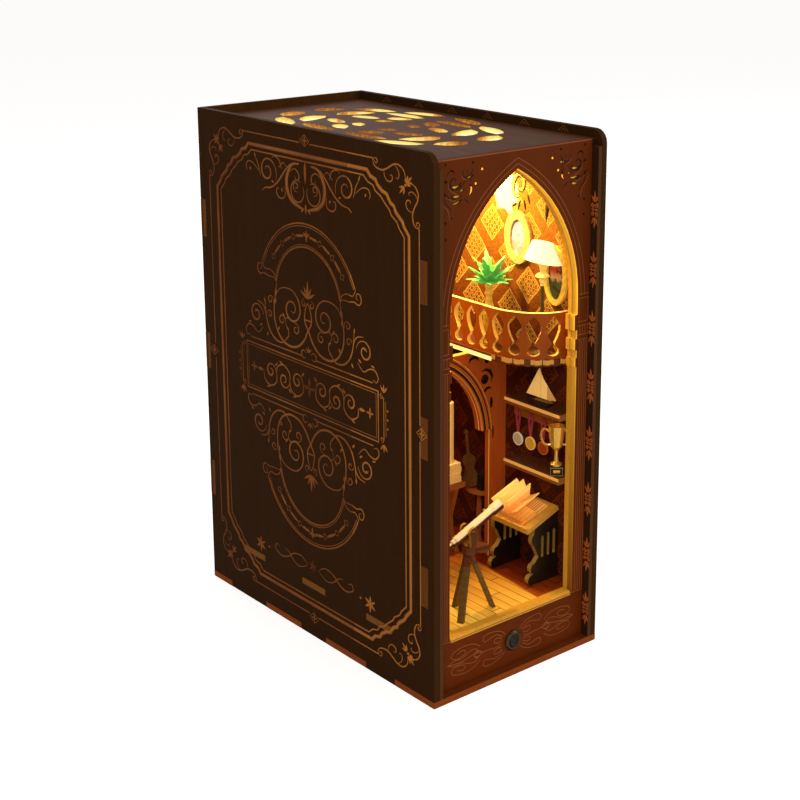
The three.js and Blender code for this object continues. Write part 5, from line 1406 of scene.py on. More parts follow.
@dataclass
class CoverOrnament:
    """The foil drawing on a side cover: frames, corner scrolls, oval ring, plaque and scrollwork."""

    middle: float = 122.0
    side_line: float = 78.0
    top_line: float = 233.4
    band: float = 1.9
    fine: float = 0.8
    weight: float = 1.02
    relief: float = 0.22

    def frames(self, work: LineWork) -> None:
        """Draws the stepped band and the thin outer line.

        Args:
            work: the drawing that takes it.
        """
        work.straight(
            (self.band, 0, 228, 44.2, 228, 46.4, 225.6, 49.9, 224.6, 51, 222.7, 54.2, 220.5, 57.3, 219.6, 58.3, 217.9,
             59.8, 216.2, 61.8, 215.4, 62.9, 213.1, 65.8, 210.8, 67.3, 209.7, 68.2, 207.8, 71.5, 204.3, 71.5, 122),
            (self.fine, 0, 225.4, 41.8, 225.4, 44.6, 223, 48.2, 222, 49.6, 219.9, 53.2, 218.2, 55, 216.4, 57.4, 214.5,
             58.9, 213.3, 60.2, 211.2, 63.8, 208.9, 65.1, 206.6, 68.4, 203.4, 68.4, 122),
            (self.fine * 0.8, 3.6, self.top_line, 48.6, self.top_line),
            (self.fine * 0.8, self.side_line, 208.4, self.side_line, 125.6),
        )

    def corner(self, work: LineWork) -> None:
        """Draws the scrolls of one corner, on both of its arms.

        Args:
            work: the drawing that takes it.
        """
        start = len(work.strokes)
        work.spirals((0.55, 50.2, 232.4, 1.8, 200, -420, 0.3))
        work.curves(
            (0.85, 48.5, 233.4, 48.4, 231.9, 49.4, 230.4, 51.6, 229.5, 54.8, 229.3, 58.2, 230.6, 61.5, 232.4, 65,
             232.8, 68, 231.2, 69.3, 228.6, 69, 226.4),
            (0.65, 55.6, 229.4, 55.8, 227.3, 57.4, 225.4, 59.8, 225.2, 61.1, 226.6, 60.5, 228, 59.3, 227.6),
            (0.5, 62, 232.6, 64.4, 231, 65.4, 228.8, 64.6, 227, 63.2, 227.4),
        )
        right, top = self.side_line, self.top_line
        for points, widths, closed in work.strokes[start:]:
            work.strokes.append(([(right - (top - y), top - (right - x) * 0.84) for x, y in points], widths, closed))
        work.leaf(70.2, 225.8, 4.6, 1.5, 45)
        work.leaf(70.2, 225.8, 3.6, 1.5, 78, 12)
        work.leaf(70.2, 225.8, 2.6, 1.5, 110, -20)
        work.leaf(68.6, 224.2, 4.4, 1.3, 225)
        work.leaf(68.6, 224.2, 3.4, 1.3, 262, 188)
        work.dot(69.4, 225.0, 0.8)

    def lozenges(self, work: LineWork) -> None:
        """Draws the small lozenges in the middle of the thin line's four sides.

        Args:
            work: the drawing that takes it.
        """
        for x, y in ((0.0, 234.6), (0.0, 9.4), (79.2, self.middle), (-79.2, self.middle)):
            work.straight((0.5, x - 3.4, y, x, y + 2.6, x + 3.4, y, x, y - 2.6), closed=True)
            work.leaf(x, y, 2.1, 0.9, 0, 90, 180, 270)

    def crest(self, work: LineWork) -> None:
        """Draws the right half of the scrolls that hang under the top band.

        Args:
            work: the drawing that takes it.
        """
        work.curves(
            (2.3, 4.3, 223.8, 9.8, 222.8, 13.3, 218.3, 14.3, 214.3, 13.3, 209.8, 9.8, 206.3, 4.8, 204.6, 1.2, 203.8),
            (0.7, 11.4, 219.6, 8, 221.2, 5.2, 219.8, 4.6, 217.4, 6.4, 216.2, 7.8, 217.8),
            (1, 4.7, 223.9, 10.6, 222.9, 14.6, 220, 18.2, 216.3, 21.9, 212.8, 26.7, 210.2, 30.9, 209.6, 33.4, 208),
            (0.6, 25.4, 223.6, 23.4, 225, 19.6, 223.6, 18.8, 221.2, 20.4, 220.2),
            (0.8, 15.8, 212, 15.4, 208.4, 17.4, 206.6, 20.4, 206.6, 22.2, 208.6, 21.6, 210.8, 20, 210.4),
            (0.6, 34.6, 214.4, 36.4, 219.4, 38.6, 222.6),
            (0.6, 36, 216.6, 40.6, 219.6, 44.8, 219.8, 46.2, 217.4, 45.6, 215.6),
            (0.5, 13.6, 220.8, 16.2, 222.8, 18.2, 221.6, 17.8, 219.6),
        )
        work.spirals((0.7, 7.0, 213.6, 2.7, 250, 430, 0.3), (1.0, 29.2, 217.4, 7.6, 205, -540, 0.24, 44))
        work.line(arc(6.0, 211.4, 4.9, 120, -330, 26), 0.8, True)
        work.leaves(
            (1.8, 204.2, 2.6, 1.1, -50), (17.6, 209.4, 2.0, 1.1, 70), (23.6, 224.6, 2.6, 1.1, 160),
            (38.4, 222.4, 2.6, 1.1, 65), (43.4, 217.6, 1.8, 1.1, -120), (26.0, 213.4, 2.2, 1.1, 200),
        )

    def ring(self, work: LineWork) -> None:
        """Draws the right half of the upper ring with its ornament in place of words.

        Args:
            work: the drawing that takes it.
        """
        for level, radius, gap, sweep, steps in ((159.4, 38.2, 1.15, -66, 26), (162.4, 24.6, -1.0, -78, 22)):
            work.line(arc(0.0, level, radius, 90, sweep, steps), 0.8)
            work.line(arc(0.0, level, radius - gap, 90, sweep, 24), 0.4)
        work.curves((0.7, 24.2, 167.4, 26.4, 168.6, 30.4, 168.6, 34.2, 169.2, 37.4, 168.4, 39.2, 170.4, 38.4, 173,
                     36.2, 173.2, 35.8, 171.2, 37.2, 170.6))
        work.curves((0.55, 24.4, 166.6, 25.4, 170, 29, 171.8, 33.2, 171.6, 35.4, 174.8), swell=False)
        for i in range(1, 7):
            turn = 90 - 9.2 * i
            x, y = 31.6 * math.cos(math.radians(turn)), 160.6 + 31.4 * math.sin(math.radians(turn))
            if i % 2:
                work.leaf(x, y, 3.4, 1.5, turn - 90, turn + 90)
                work.dot(x, y, 0.8)
            else:
                work.line(arc(x, y, 1.5, turn, 270, 3), 0.45, closed=True)

    def ring_crown(self, work: LineWork) -> None:
        """Draws the leaf at the top of the ring.

        Args:
            work: the drawing that takes it.
        """
        work.leaf(0.0, 192.0, 2.8, 1.4, 90, 30, 150, -90)
        work.dot(0.0, 192.0, 0.9)

    def scrollwork(self, work: LineWork) -> None:
        """Draws the right half of the scrolls between the ring and the plaque.

        Args:
            work: the drawing that takes it.
        """
        work.curves(
            (1.2, 24, 166.4, 25.4, 160.4, 26.6, 153, 25.6, 146.6, 21.6, 141, 15.4, 138.6, 8.6, 139.6, 3.4, 143.6, 0.4,
             148.4, -2.6, 153, -1.8, 158.6, 0, 161.6),
            (1, 25.2, 159.8, 22.4, 163.6, 17.6, 165.4, 11.6, 165, 7.2, 161.4, 6, 156.6, 7.8, 152.6, 12, 150.8, 15.8,
             152.6, 16.8, 156.4, 14.6, 159.4, 11.2, 159.6, 9.6, 157.2, 10.8, 154.9, 12.9, 155.4),
            (0.6, 12.6, 150.6, 15.6, 151.8, 18, 150.2),
            (0.6, 17.2, 148.4, 15.2, 145.2, 16, 142.4, 18.6, 140.2),
            (0.6, 26.4, 153.2, 26.6, 156.2, 27.2, 158.6),
            (1, 33.8, 155.2, 33, 148.6, 30.4, 142.8, 25.6, 139.2, 20, 139, 16.6, 142.2),
            (0.7, 33, 148, 34, 151.8, 36.4, 154.2, 40.6, 155),
            (0.75, 36, 143, 40, 139.6, 44.2, 141.6, 48, 142, 50.4, 139.2, 49.2, 136.8, 46.8, 137.6),
            (0.6, 2.2, 136, 4.6, 135.6, 5.6, 138, 3.6, 139.2, 1.8, 138),
        )
        work.spirals(
            (0.75, 9.6, 147.4, 3.2, 60, 430, 0.28), (0.7, 20.4, 149.6, 3.3, -150, -430, 0.3),
            (0.7, 29.4, 157.4, 2.5, 170, -420, 0.28), (0.95, 41.2, 148.4, 5.9, 175, -520, 0.26, 36),
            (0.6, 30, 150.4, 2.2, 0, 400, 0.3),
        )
        work.leaves(
            (25, 160, 4, 1.9, 95), (25.4, 159.4, 3, 1.5, -95), (15, 146.2, 2.4, 1.1, 20), (18.4, 151, 2.8, 1.2, 60),
            (22.6, 146, 2.6, 1.2, -60), (36.6, 144.4, 2.6, 1.1, -30), (45.6, 143.6, 2.6, 1.1, -10),
            (33.8, 155, 2.8, 1.1, 80), (40.2, 150.6, 2.4, 1, -40), (31.8, 141.4, 2.4, 1.1, -60),
        )

    def finial(self, work: LineWork) -> None:
        """Draws the palmette and the cross bar on the middle line.

        Args:
            work: the drawing that takes it.
        """
        work.leaf(0.0, 163.6, 8.4, 1.8, 90)
        work.leaf(0.0, 163.6, 6.2, 1.4, 62, 118)
        work.leaf(0.0, 163.6, 6.4, 1.4, 30, 150)
        work.straight((0.7, -2.8, 153.6, 2.8, 153.6))
        for side in (1, -1):
            work.spirals((0.55, side * 2.9, 161.0, 2.0, 90, -side * 380, 0.3))
        work.leaf(0.0, 138.6, 3.0, 1.0, 45, 90, 135)

    def plaque(self, work: LineWork) -> None:
        """Draws the plaque's double border and its end columns.

        Args:
            work: the drawing that takes it.
        """
        for half, low, high, width in ((50.2, 110.6, 133.4, 0.95), (48.8, 112.0, 132.0, 0.4)):
            work.straight((width, -half, low, half, low, half, high, -half, high), closed=True)
        for side in (1, -1):
            for level in (136.2, 107.8):
                work.straight((0.6, side * 5.4, level, side * 46.6, level))
            x, inset = side * 54.0, side * 55.4
            work.straight((0.55, x, 112.4, x, 131.6), (0.3, inset, 114.0, inset, 130.0))
            for level, turn in ((133.6, 1), (110.4, -1)):
                work.leaf(x, level, 3.8, 1.2, turn * 90, turn * 50, turn * 130)
                spiral = (0.45, side * 52.6, level - turn * 2.0, 1.4, 90 * turn, side * 380, 0.3)
                work.spirals(spiral, swell=False)
            for level in (118.0, 122.0, 126.0):
                work.dot(side * 56.6, level, 0.55)

    def scroll_row(self, work: LineWork) -> None:
        """Draws the right half of a leaf scroll along the plaque, in place of words.

        Args:
            work: the drawing that takes it.
        """
        y = self.middle
        work.leaf(0.0, y, 5.0, 1.9, 0, 90, 180, 270)
        for x, hand in ((9.5, 1), (20.0, -1), (30.5, 1)):
            work.spirals((1.05, x, y + hand * 0.9, 4.6, 180, -hand * 470, 0.25, 32))
            work.curves((0.9, x - 4.6, y + hand * 0.9, x - 4.4, y - hand * 3.4, x + 0.2, y - hand * 6.2,
                         x + 5.0, y - hand * 4.2, x + 5.9, y))
            work.leaf(x + 0.6, y - hand * 6.2, 3.2, 1.2, -hand * 25)
            work.leaf(x - 3.6, y + hand * 4.2, 3.0, 1.1, hand * 135)
        work.leaf(36.8, y, 4.4, 1.8, 0)
        work.leaf(44.4, y, 2.6, 1.1, 0, 90, 180, 270)

    def lower_row(self, work: LineWork) -> None:
        """Draws the right half of the slim flourish near the lower edge, in place of words.

        Args:
            work: the drawing that takes it.
        """
        work.leaf(0.0, 35.0, 3.2, 1.1, 90, 30, -30, 150, 210, -90)
        work.curves(
            (0.85, 4.4, 35, 9.6, 37.6, 15.6, 36.6, 20.4, 33.4, 26, 32.2, 30.6, 34.4, 29.4, 37, 27, 36),
            (0.6, 4.4, 34.4, 10.4, 31.8, 15.6, 33, 19.6, 36.2, 23.2, 37),
        )
        work.leaf(43.0, 32.4, 4.2, 1.5, 90, 150, 210, 270, 30, 330)
        work.dot(43.0, 32.4, 1.0)
        work.dot(36.0, 33.0, 0.7)

    def draw(self, work: LineWork) -> None:
        """Draws the whole cover, from its upper right part and its mirror images.

        Args:
            work: the drawing that takes it.
        """
        self.frames(work)
        self.corner(work)
        work.mirrored()
        work.flipped(self.middle)
        start = len(work.strokes)
        self.scrollwork(work)
        self.ring(work)
        work.mirrored(start)
        self.finial(work)
        self.ring_crown(work)
        work.flipped(self.middle, start)
        start = len(work.strokes)
        self.crest(work)
        self.scroll_row(work)
        self.lower_row(work)
        work.mirrored(start)
        work.leaf(0.0, 225.4, 10.0, 2.0, -90)
        work.leaf(0.0, 206.4, 4.6, 1.5, -90)
        self.plaque(work)
        self.lozenges(work)
        work.strokes = [(points, [w * self.weight if w < 1.3 else w for w in widths], closed)
                        for points, widths, closed in work.strokes]

    def build(self, shop: Workshop) -> None:
        """Sets the drawing on both covers.

        Args:
            shop: the workshop.
        """
        for name, side in (("left_cover", -1.0), ("right_cover", 1.0)):
            low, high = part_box(name)
            work = LineWork(Vector((low.x if side < 0 else high.x, 0.0, 0.0)), Vector((0.0, side, 0.0)), self.relief)
            self.draw(work)
            shop.set_down(work.build(name + "_foil"), FOIL, "gilt_ply")


@dataclass
class FrontLines:
    """Fine etched lines of the arch panel and the plinth: hood lines, pilasters and scrolls."""

    half: float = 37.0
    spring: float = 167.0
    apex: float = 228.0
    line: float = 0.36

    def hood(self, margin: float) -> list[Point]:
        """Right side of the pointed arch, grown by a margin, from the springing to the apex.

        Args:
            margin: how far it lies outside the opening.

        Returns:
            The points.
        """
        rise = self.apex - self.spring
        offset = (rise * rise - self.half * self.half) / (2 * self.half)
        radius = self.half + offset + margin
        end = math.degrees(math.acos(offset / radius))
        return arc(-offset, self.spring, radius, 0, end, 22)

    def pilaster(self, work: LineWork) -> None:
        """Draws the right pilaster: flutes, capital lines and dentils.

        Args:
            work: the drawing that takes it.
        """
        work.straight(*((self.line, x, 26.6, x, 146.4) for x in (38.5, 39.7, 40.9, 42.1, 43.3)))
        for level, left in ((167.5, 37.9), (165.7, 37.9), (155.0, 37.4), (153.2, 37.0), (149.0, 37.0), (146.8, 37.4)):
            work.straight((self.line, left, level, 43.8, level))
        work.straight(*((self.line * 0.8, x, 155.0, x, 165.7) for x in (37.9, 43.6)))
        work.straight(*((self.line * 0.8, x, 149.0, x, 153.2) for x in (38.6, 40.2, 41.8, 43.4)))

    def corner(self, work: LineWork) -> None:
        """Draws the thin scrolls round the cuts of the right upper corner.

        Args:
            work: the drawing that takes it.
        """
        thin = self.line * 0.8
        work.curves(
            (thin, 37.8, 226.1, 37.9, 224.4, 36.6, 223, 34.5, 221.7, 33, 220.8),
            (thin, 41.5, 221.3, 41.7, 219.5, 40.4, 217.5, 38.5, 215.6, 37.8, 214, 37, 211.2),
            (thin, 30.8, 228.9, 30.1, 227.3, 28.5, 226.8),
            (thin, 33.9, 218.8, 35.8, 218.8, 37, 219.5, 38.7, 220.2, 39.3, 221.2),
            swell=False, steps=6,
        )

    def cuts(self, work: LineWork) -> None:
        """Draws the dark curls that join the cuts of the right upper corner, standing for finer cuts: their burnt
        walls and the painted shade inside them.

        Args:
            work: the drawing that takes it.
        """
        work.curves(
            (0.7, 29.3, 231.3, 30.4, 229.4, 29.1, 227.9, 26.8, 228.3, 25.1, 230, 24.9, 230.9),
            (0.45, 27.4, 231, 28, 230, 27, 229.3),
            (0.9, 29.1, 226.7, 30.1, 224.9, 32.2, 223.6, 34.5, 223.4, 36.4, 224.2, 37.2, 225.6, 36.6, 227.2, 35.1,
             228.1, 34.1, 227.2, 34.3, 226),
            (0.6, 38.9, 227.8, 38.8, 227, 38.6, 226),
            (0.8, 38.9, 221.9, 39.9, 222.1, 41, 222.7),
            (1, 33.7, 219.5, 35.3, 219.9, 36.8, 220.7),
            (1.2, 37.1, 219.9, 37.9, 220.4, 38.8, 221.1),
            (0.6, 39.7, 220.1, 39.5, 218.4, 38.3, 217, 36.8, 215.8, 36.6, 214.1),
            (1, 36.9, 212.6, 36.3, 211.9, 35.4, 211.3),
            (0.7, 26.4, 216.8, 28.3, 218.1, 29.4, 219.3),
            (0.6, 25.3, 228.5, 26.2, 227, 25.1, 225.4),
            steps=6,
        )

    def scrolls(self, work: LineWork) -> None:
        """Draws the right half of the plinth's scrolls.

        Args:
            work: the drawing that takes it.
        """
        thin = self.line * 0.95
        work.curves(
            (thin, 4.4, 18.6, 7.1, 21, 11.5, 22.2, 15.9, 22.3, 17.6, 20.9, 16.6, 19.1, 13.6, 19.6, 10.2, 20.3, 7.4,
             19.2, 5.8, 18),
            (thin, 6.4, 17.2, 8.4, 18.3, 10.6, 18.2, 10.8, 16.7, 8.6, 15.9, 6.6, 16.3),
            (thin, 19.3, 18.1, 23.4, 20.4, 29, 21.1, 34.6, 20, 36, 18, 33.4, 16.4, 29.4, 16.9, 27.8, 18.4, 29.8, 19.4,
             32.8, 18.6),
            (thin, 20.2, 16, 22.4, 17.8, 26, 17.4, 30, 15.8, 34.5, 16, 38.1, 14.6),
            (thin, 17.8, 14.7, 20.6, 13.4, 22.8, 14.6, 21.6, 16.2, 19.4, 15.8),
            swell=False, steps=6,
        )
        work.flipped(14.7)
        work.curves(
            (thin, 6.8, 14.7, 10.3, 14.2, 14, 14.6, 17.8, 14.7, 22, 15.4, 26, 14.8, 31, 14.2, 38.4, 14.7),
            swell=False, steps=6,
        )

    def build(self, shop: Workshop) -> None:
        """Sets the lines on the panel and the plinth.

        Args:
            shop: the workshop.
        """
        origin, across = Vector((0.0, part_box("plinth_board")[0].y, 0.0)), Vector((1.0, 0.0, 0.0))
        lines, curls, plinth = (LineWork(origin, across, relief) for relief in (0.2, 0.12, 0.2))
        for margin in (1.9, 4.1):
            lines.line([(self.half + margin, self.spring), *self.hood(margin)[1:]], self.line)
        self.pilaster(lines)
        self.corner(lines)
        self.cuts(curls)
        self.scrolls(plinth)
        for work in (lines, curls, plinth):
            work.mirrored()
        lines.straight((self.line, -43.4, 25.9, 43.4, 25.9), (0.5, -43.4, 235.7, 43.4, 235.7))
        shop.set_down(lines.build("arch_lines"), ETCH, "panel_ply")
        shop.set_down(curls.build("arch_curls"), DARK_LINE, "panel_ply")
        shop.set_down(plinth.build("plinth_lines"), ETCH, "panel_ply")


@dataclass
class Case:
    """The plywood case and the shell of the room."""

    edge: float = 0.18

    def build(self, shop: Workshop) -> None:
        """Dresses the sheets.

        Args:
            shop: the workshop.
        """
        shop.dress(
            (COVER, "left_cover right_cover"), (COVER_BACK, "back_panel battery_door"), (TOP, "top_panel"),
            (PANEL, "front_arch_panel"), (PLINTH, "plinth_board"), (BASE, "base_plate"),
            (FRAME, "front_arch_frame door_sill"), (GALLERY, "gallery_floor"),
            (WALL_SIDE, "left_wall_liner right_wall_liner"), (WALL_BACK, "back_wall_liner"), (FLOOR, "room_floor"),
            (SHELF, "upper_shelf lower_shelf"), (DIFFUSER, "light_diffuser"), (RED_WOOD, "arch_screen"),
            (RIB_WOOD, "screen_rib"), (RAIL, "gallery_railing"),
        )
        for name in ("left_cover", "right_cover"):
            shop.round_off(name, self.edge)


class Furniture:
    """What stands in the room."""

    def build(self, shop: Workshop) -> None:
        """Dresses the furniture.

        Args:
            shop: the workshop.
        """
        shop.dress(
            (ROOM_WOOD, "writing_desk wall_ledge medal_rail"), (BRONZE, "violin"),
            (LECTERN, "lectern_side_front lectern_side_rear lectern_tie"), (HULL, "boat_hull"),
            (BOARD_GILT, "lectern_top"), (FORK, "telescope_fork"), (REAR_PICTURE, "picture_frame_rear"),
            (FRONT_PICTURE, "picture_frame_front"), (PAGES, "open_book"), (PAPER, "book_stack paper_scroll"),
            (SAIL, "boat_sails"), (TUBE, "telescope_tube"), (LEGS, "telescope_tripod"), (STAND, "lamp_stand"),
            (VASE, "plant_vase"), (SHADE, "lamp_shade lamp_bulb"), (GOLD, "trophy_cup"), (SILVER_MEDAL, "medal_1"),
            (GOLD_MEDAL, "medal_2"), (BRONZE_MEDAL, "medal_3"), (BLACK, "trophy_base small_clock"),
        )


class Workings:
    """Switch, cells and light."""

    def build(self, shop: Workshop) -> None:
        """Dresses the workings.

        Args:
            shop: the workshop.
        """
        shop.dress(
            (NICKEL, "button_bezel button_nut"), (BLACK, "button_cap switch_body battery_tray"),
            (WRAP, "battery_cell_rear battery_cell_front"), (CIRCUIT, "light_board"),
            (RUBBER, "light_lead switch_lead"),
        )


@dataclass
class RoomTrim:
    """Line trim in the room: the rib's painted edge highlights and groove shade, the strip down the right wall, the
    ceiling scroll and the trophy plate.
    """

    rib_front: float = -31.6
    rib_middle: Point = (-14.38, 90.0)
    rib_radius: float = 41.38
    wall: float = 43.9
    strip_pitch: float = 26.9
    trophy: Colour = (35.8, -72.6, 0.0)
    trophy_turn: float = -0.7

    def rib(self, shop: Workshop) -> None:
        """Sets the painted highlights on the rib's edges and the painted shade in its grooves.

        Args:
            shop: the workshop.
        """
        # painted highlights along the rib's edges and painted shade in its grooves
        for name, finish, lines in (
            ("rib_gilt_lines", GILT_AND_HIGHLIGHT_LINE, ((0.75, 0.4), (3.1, 0.26), (6.25, 0.4))),
            ("rib_grooves", DARK_LINE, ((2.2, 1.2), (4.9, 0.7))),
        ):
            work = LineWork(Vector((0.0, self.rib_front * MM, 0.0)), Vector((1.0, 0.0, 0.0)), 0.2)
            for margin, width in lines:
                radius = self.rib_radius + margin
                start, end = math.asin(2.5 / radius), math.acos(-self.rib_middle[0] / radius)
                work.line(arc(*self.rib_middle, radius, math.degrees(start), math.degrees(end - start), 24), width)
            work.mirrored()
            shop.set_down(work.build(name), finish, "gold")

    def motif(self, work: LineWork, u: float, v: float) -> None:
        """Draws one stacked leaf motif of the strip.

        Args:
            work: the drawing that takes it.
            u: its middle, across.
            v: its middle, up.
        """
        for angle, length in ((90, 5.2), (55, 3.4), (125, 3.4), (-90, 5.2), (-60, 3.8), (-120, 3.8)):
            work.leaf(u, v + (3.4 if angle > 0 else -3.2), length, 1.7, angle)
        for side in (1, -1):
            work.spirals((0.85, u + side * 0.9, v + 1.8, 1.1, 90, -side * 400, 0.35, 14),
                         (0.8, u + side * 0.9, v - 1.8, 1.0, -90, side * 400, 0.35, 14), swell=False)
        work.leaf(u, v, 2.2, 1.4, 0, 180)

    def on_wall(self, relief: float, x: Optional[float] = None) -> LineWork:
        """An empty drawing on the right wall's inner face, or at another distance, seen from the left."""
        return LineWork(Vector(((x or self.wall) * MM, 0.0, 0.0)), Vector((0.0, -1.0, 0.0)), relief)

    def strip(self, shop: Workshop) -> None:
        """Sets the strip's motifs and the right cover's small triangles.

        Args:
            shop: the workshop.
        """
        work = self.on_wall(0.16)
        for i in range(8):
            self.motif(work, 85.1, 205.0 - i * self.strip_pitch)
        shop.set_down(work.build("strip_motifs"), STRIP, "wallpaper")
        work = self.on_wall(0.16, 46.0)
        for u in range(-62, 64, 25):
            for width, half, tip in ((0.3, 3.2, 239.3), (0.25, 1.4, 237.9)):
                work.straight((width, u - half, 236.6, u, tip, u + half, 236.6))
        shop.set_down(work.build("cover_triangles"), ETCH, "cover_ply")

    def ceiling_scroll(self, shop: Workshop) -> None:
        """Sets the scroll high on the right wall, and its shadow with leaves.

        Args:
            shop: the workshop.
        """
        scroll = (38, 204.4, 35.4, 203.6, 33.6, 206, 34, 210.4, 36.4, 213.8, 39.8, 213.2, 40.6, 209.8, 39, 207,
                  36.8, 207.6, 36.6, 209.6)
        shadow, bright = self.on_wall(0.08), self.on_wall(0.4)
        shadow.curves((2.9, *scroll))
        shadow.leaves((38.4, 202.2, 5.4, 1.4, -110), (40.6, 203.0, 6.0, 1.5, -75), (43.0, 205.6, 5.0, 1.3, -70),
                      (36.4, 200.6, 4.6, 1.2, -150), (41.6, 197.4, 4.6, 1.3, -120), (56.4, 206.0, 12.0, 2.5, -96))
        bright.curves((2.2, *scroll))
        shop.set_down(shadow.build("scroll_shadow"), DARK_LINE, "wallpaper")
        shop.set_down(bright.build("wall_scroll"), WALL_GILT, "wallpaper")

    def trophy_plate(self, shop: Workshop) -> None:
        """Sets the blank plate and the edges of the trophy's base.

        Args:
            shop: the workshop.
        """
        sine, cosine = math.sin(self.trophy_turn), math.cos(self.trophy_turn)
        middle = Vector(self.trophy) + Vector((sine, -cosine, 0.0)) * 2.98
        work = LineWork(middle * MM, Vector((cosine, sine, 0.0)), 0.12)
        work.straight((1.9, -1.5, 83.3, 1.5, 83.3), (0.5, -2.9, 81.4, 2.9, 81.4), (0.5, -2.9, 85.1, 2.9, 85.1),
                      (0.4, -2.75, 81.3, -2.75, 85.2), (0.4, 2.75, 81.3, 2.75, 85.2))
        shop.set_down(work.build("trophy_plate"), GILT_AND_HIGHLIGHT_LINE, "gold")

    def build(self, shop: Workshop) -> None:
        """Sets all trim.

        Args:
            shop: the workshop.
        """
        self.rib(shop)
        self.strip(shop)
        self.ceiling_scroll(shop)
        self.trophy_plate(shop)


@dataclass
class PalmCrown:
    """The potted palm's broad notched leaves."""

    heart: Colour = (29.7, -33.7, 164.9)
    rows: tuple[tuple[int, float, float, float], ...] = (
        (8, 11.4, 5.2, 24.0), (7, 14.0, 5.4, 50.0), (5, 16.6, 5.2, 72.0)
    )
    fingers: float = 4.0
    sheet: float = 0.25

    def leaf(self, shape: bmesh.types.BMesh, length: float, width: float, lift: float, turn: float) -> None:
        """Adds one leaf.

        Args:
            shape: the mesh that takes it.
            length: its length.
            width: its greatest width.
            lift: its angle over the level, in degrees.
            turn: its direction, in degrees.
        """
        made = bmesh.ops.create_grid(shape, x_segments=20, y_segments=4, size=0.5)["verts"]
        spin = Matrix.Rotation(math.radians(turn), 3, "Z") @ Matrix.Rotation(-math.radians(lift), 3, "Y")
        for vert in made:
            t, side = vert.co.x + 0.5, vert.co.y * 2.0
            body = math.sin(math.pi * min(t ** 0.75, 1.0)) + 0.1 * (1.0 - t)
            notch = 0.6 + 0.55 * ((t * self.fingers) % 1.0) if t > 0.2 else 0.8
            reach = side * body * notch * width / 2
            local = Vector((length * t, reach, -abs(reach) * 0.35 - length * 0.3 * t ** 2.2))
            vert.co = (spin @ local + Vector(self.heart)) * MM

    def build(self, shop: Workshop) -> None:
        """Builds the crown in place of the plain leaves.

        Args:
            shop: the workshop.
        """
        shape = bmesh.new()
        for row, (count, length, width, lift) in enumerate(self.rows):
            for i in range(count):
                turn = 360.0 * (i + 0.37 * row + 0.11) / count
                self.leaf(shape, length * (0.92 + 0.08 * math.sin(i * 2.3 + row)), width, lift, turn)
        bmesh.ops.recalc_face_normals(shape, faces=shape.faces)
        bmesh.ops.solidify(shape, geom=shape.faces[:], thickness=self.sheet * MM)
        mesh = bpy.data.meshes.new("palm_crown")
        shape.to_mesh(mesh)
        shape.free()
        shop.set_down(added("palm_crown", mesh), PALM, "leaf", "palm_leaves")


# Studio


WHITE = (1.0, 1.0, 1.0)
WARM = (1.0, 0.7, 0.29)


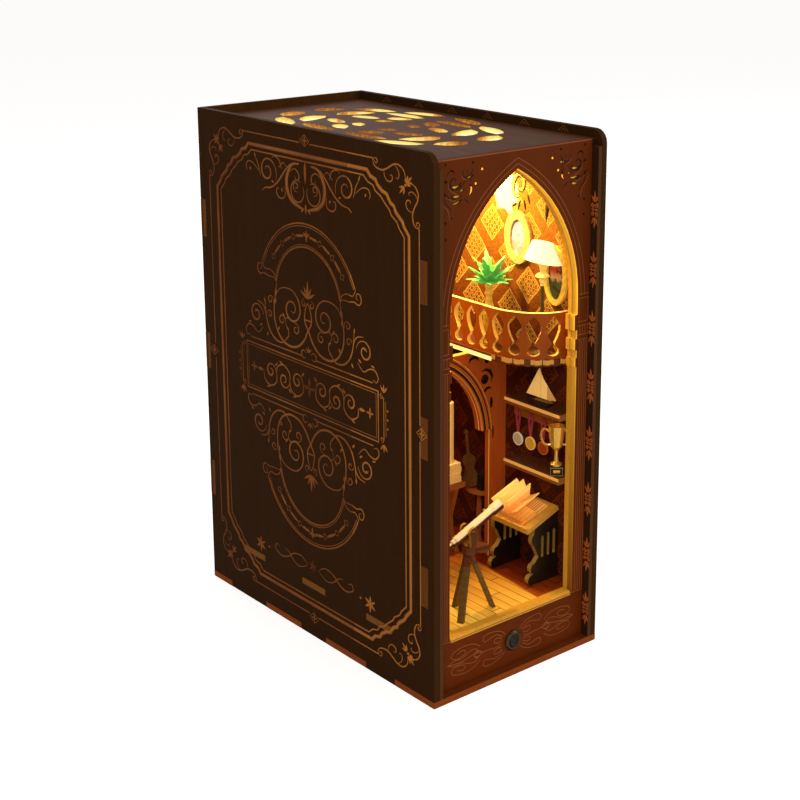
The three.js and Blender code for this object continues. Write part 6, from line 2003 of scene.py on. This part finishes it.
@dataclass
class Studio:
    """Camera, floor and lamps, in metres."""

    eye: Colour = (-0.4319, -0.5421, 0.3408)
    azimuth: float = -0.7052
    elevation: float = 0.2365
    lens: float = 69.37
    shift: Point = (-0.0529, -0.1751)
    aim: Colour = (0.0, 0.0, 0.12)

    def camera(self) -> None:
        """Sets the camera at the photograph's place."""
        data = bpy.data.cameras.new("camera")
        data.lens, data.sensor_width = self.lens, SENSOR
        data.shift_x, data.shift_y = self.shift
        data.clip_start, data.clip_end = 0.01, 20.0
        camera = added("camera", data)
        a, e = self.azimuth, self.elevation
        ahead = Vector((-math.sin(a) * math.cos(e), math.cos(a) * math.cos(e), -math.sin(e)))
        camera.rotation_mode = "QUATERNION"
        camera.rotation_quaternion = ahead.to_track_quat("-Z", "Y")
        camera.location = self.eye
        bpy.context.scene.camera = camera

    def floor(self) -> None:
        """Lays the pale floor, which looks white and keeps the shadow."""
        mesh = bpy.data.meshes.new("floor")
        shape = bmesh.new()
        bmesh.ops.create_grid(shape, x_segments=1, y_segments=1, size=6.0)
        shape.to_mesh(mesh)
        shape.free()
        material = bpy.data.materials.new("pale_floor")
        b = Bench(material)
        seen = b.node("ShaderNodeLightPath", output="Is Camera Ray")
        plain = b.node("ShaderNodeBsdfDiffuse", inputs={"Color": (0.82, 0.82, 0.82)})
        lift = b.node("ShaderNodeEmission", inputs={"Color": WHITE, "Strength": 0.62})
        both = b.node("ShaderNodeAddShader", inputs={0: plain, 1: lift})
        b.end(b.node("ShaderNodeMixShader", inputs={0: seen, 1: plain, 2: both}))
        mesh.materials.append(material)
        added("floor", mesh)

    def world(self) -> None:
        """Sets a soft even sky that is white to the camera."""
        world = bpy.data.worlds.new("studio")
        bpy.context.scene.world = world
        b = Bench(world)
        seen = b.node("ShaderNodeLightPath", output="Is Camera Ray")
        seen = seen.either(b.node("ShaderNodeLightPath", output="Is Transmission Ray"))
        sky = b.node("ShaderNodeBackground", inputs={"Color": (1.0, 0.97, 0.93), "Strength": 0.42})
        white = b.node("ShaderNodeBackground", inputs={"Color": WHITE, "Strength": 1.0})
        b.end(b.node("ShaderNodeMixShader", inputs={0: seen, 1: sky, 2: white}), "ShaderNodeOutputWorld")

    def lamp(
        self, name: str, place: Colour, target: Optional[Colour], size: float, power: float, tone: Colour
    ) -> None:
        """Hangs a lamp.

        Args:
            name: its name.
            place: where it is.
            target: the point that a disc faces, or None for a round bulb.
            size: the disc's width or the bulb's radius.
            power: its power in watts.
            tone: its colour.
        """
        data = bpy.data.lights.new(name, "AREA" if target else "POINT")
        data.energy, data.color = power, tone
        lamp = added(name, data)
        lamp.location = place
        if target:
            data.shape, data.size = "DISK", size
            lamp.rotation_mode = "QUATERNION"
            lamp.rotation_quaternion = (Vector(target) - Vector(place)).to_track_quat("-Z", "Y")
        else:
            data.shadow_soft_size = size

    def build(self) -> None:
        """Sets up the studio and the object's own lights."""
        bpy.context.scene.view_settings.view_transform = "Standard"
        self.camera()
        self.floor()
        self.world()
        self.lamp("key_lamp", (-0.9, -0.9, 1.1), self.aim, 0.8, 9.0, (1.0, 0.96, 0.9))
        self.lamp("side_lamp", (1.1, -0.7, 0.8), self.aim, 0.9, 5.0, (1.0, 0.97, 0.94))
        self.lamp("back_lamp", (0.3, 1.2, 0.7), self.aim, 1.2, 3.5, (1.0, 0.96, 0.9))
        self.lamp("ceiling_light", (0.012, -0.022, 0.2275), (0.008, -0.02, 0.0), 0.014, 0.27, WARM)
        self.lamp("rear_light", (-0.012, 0.035, 0.2305), (-0.012, 0.035, 0.0), 0.02, 0.16, WARM)
        self.lamp("shade_light", (0.0364, -0.0612, 0.1748), None, 0.0015, 0.008, (1.0, 0.75, 0.42))


def main() -> None:
    """Builds and dresses everything."""
    logging.basicConfig(level=logging.INFO, format="%(message)s")
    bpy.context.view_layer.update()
    shop = Workshop(frame["nodes"])
    Studio().build()
    Case().build(shop)
    Furniture().build(shop)
    Workings().build(shop)
    CoverOrnament().build(shop)
    FrontLines().build(shop)
    RoomTrim().build(shop)
    PalmCrown().build(shop)


if __name__ == "__main__":
    main()
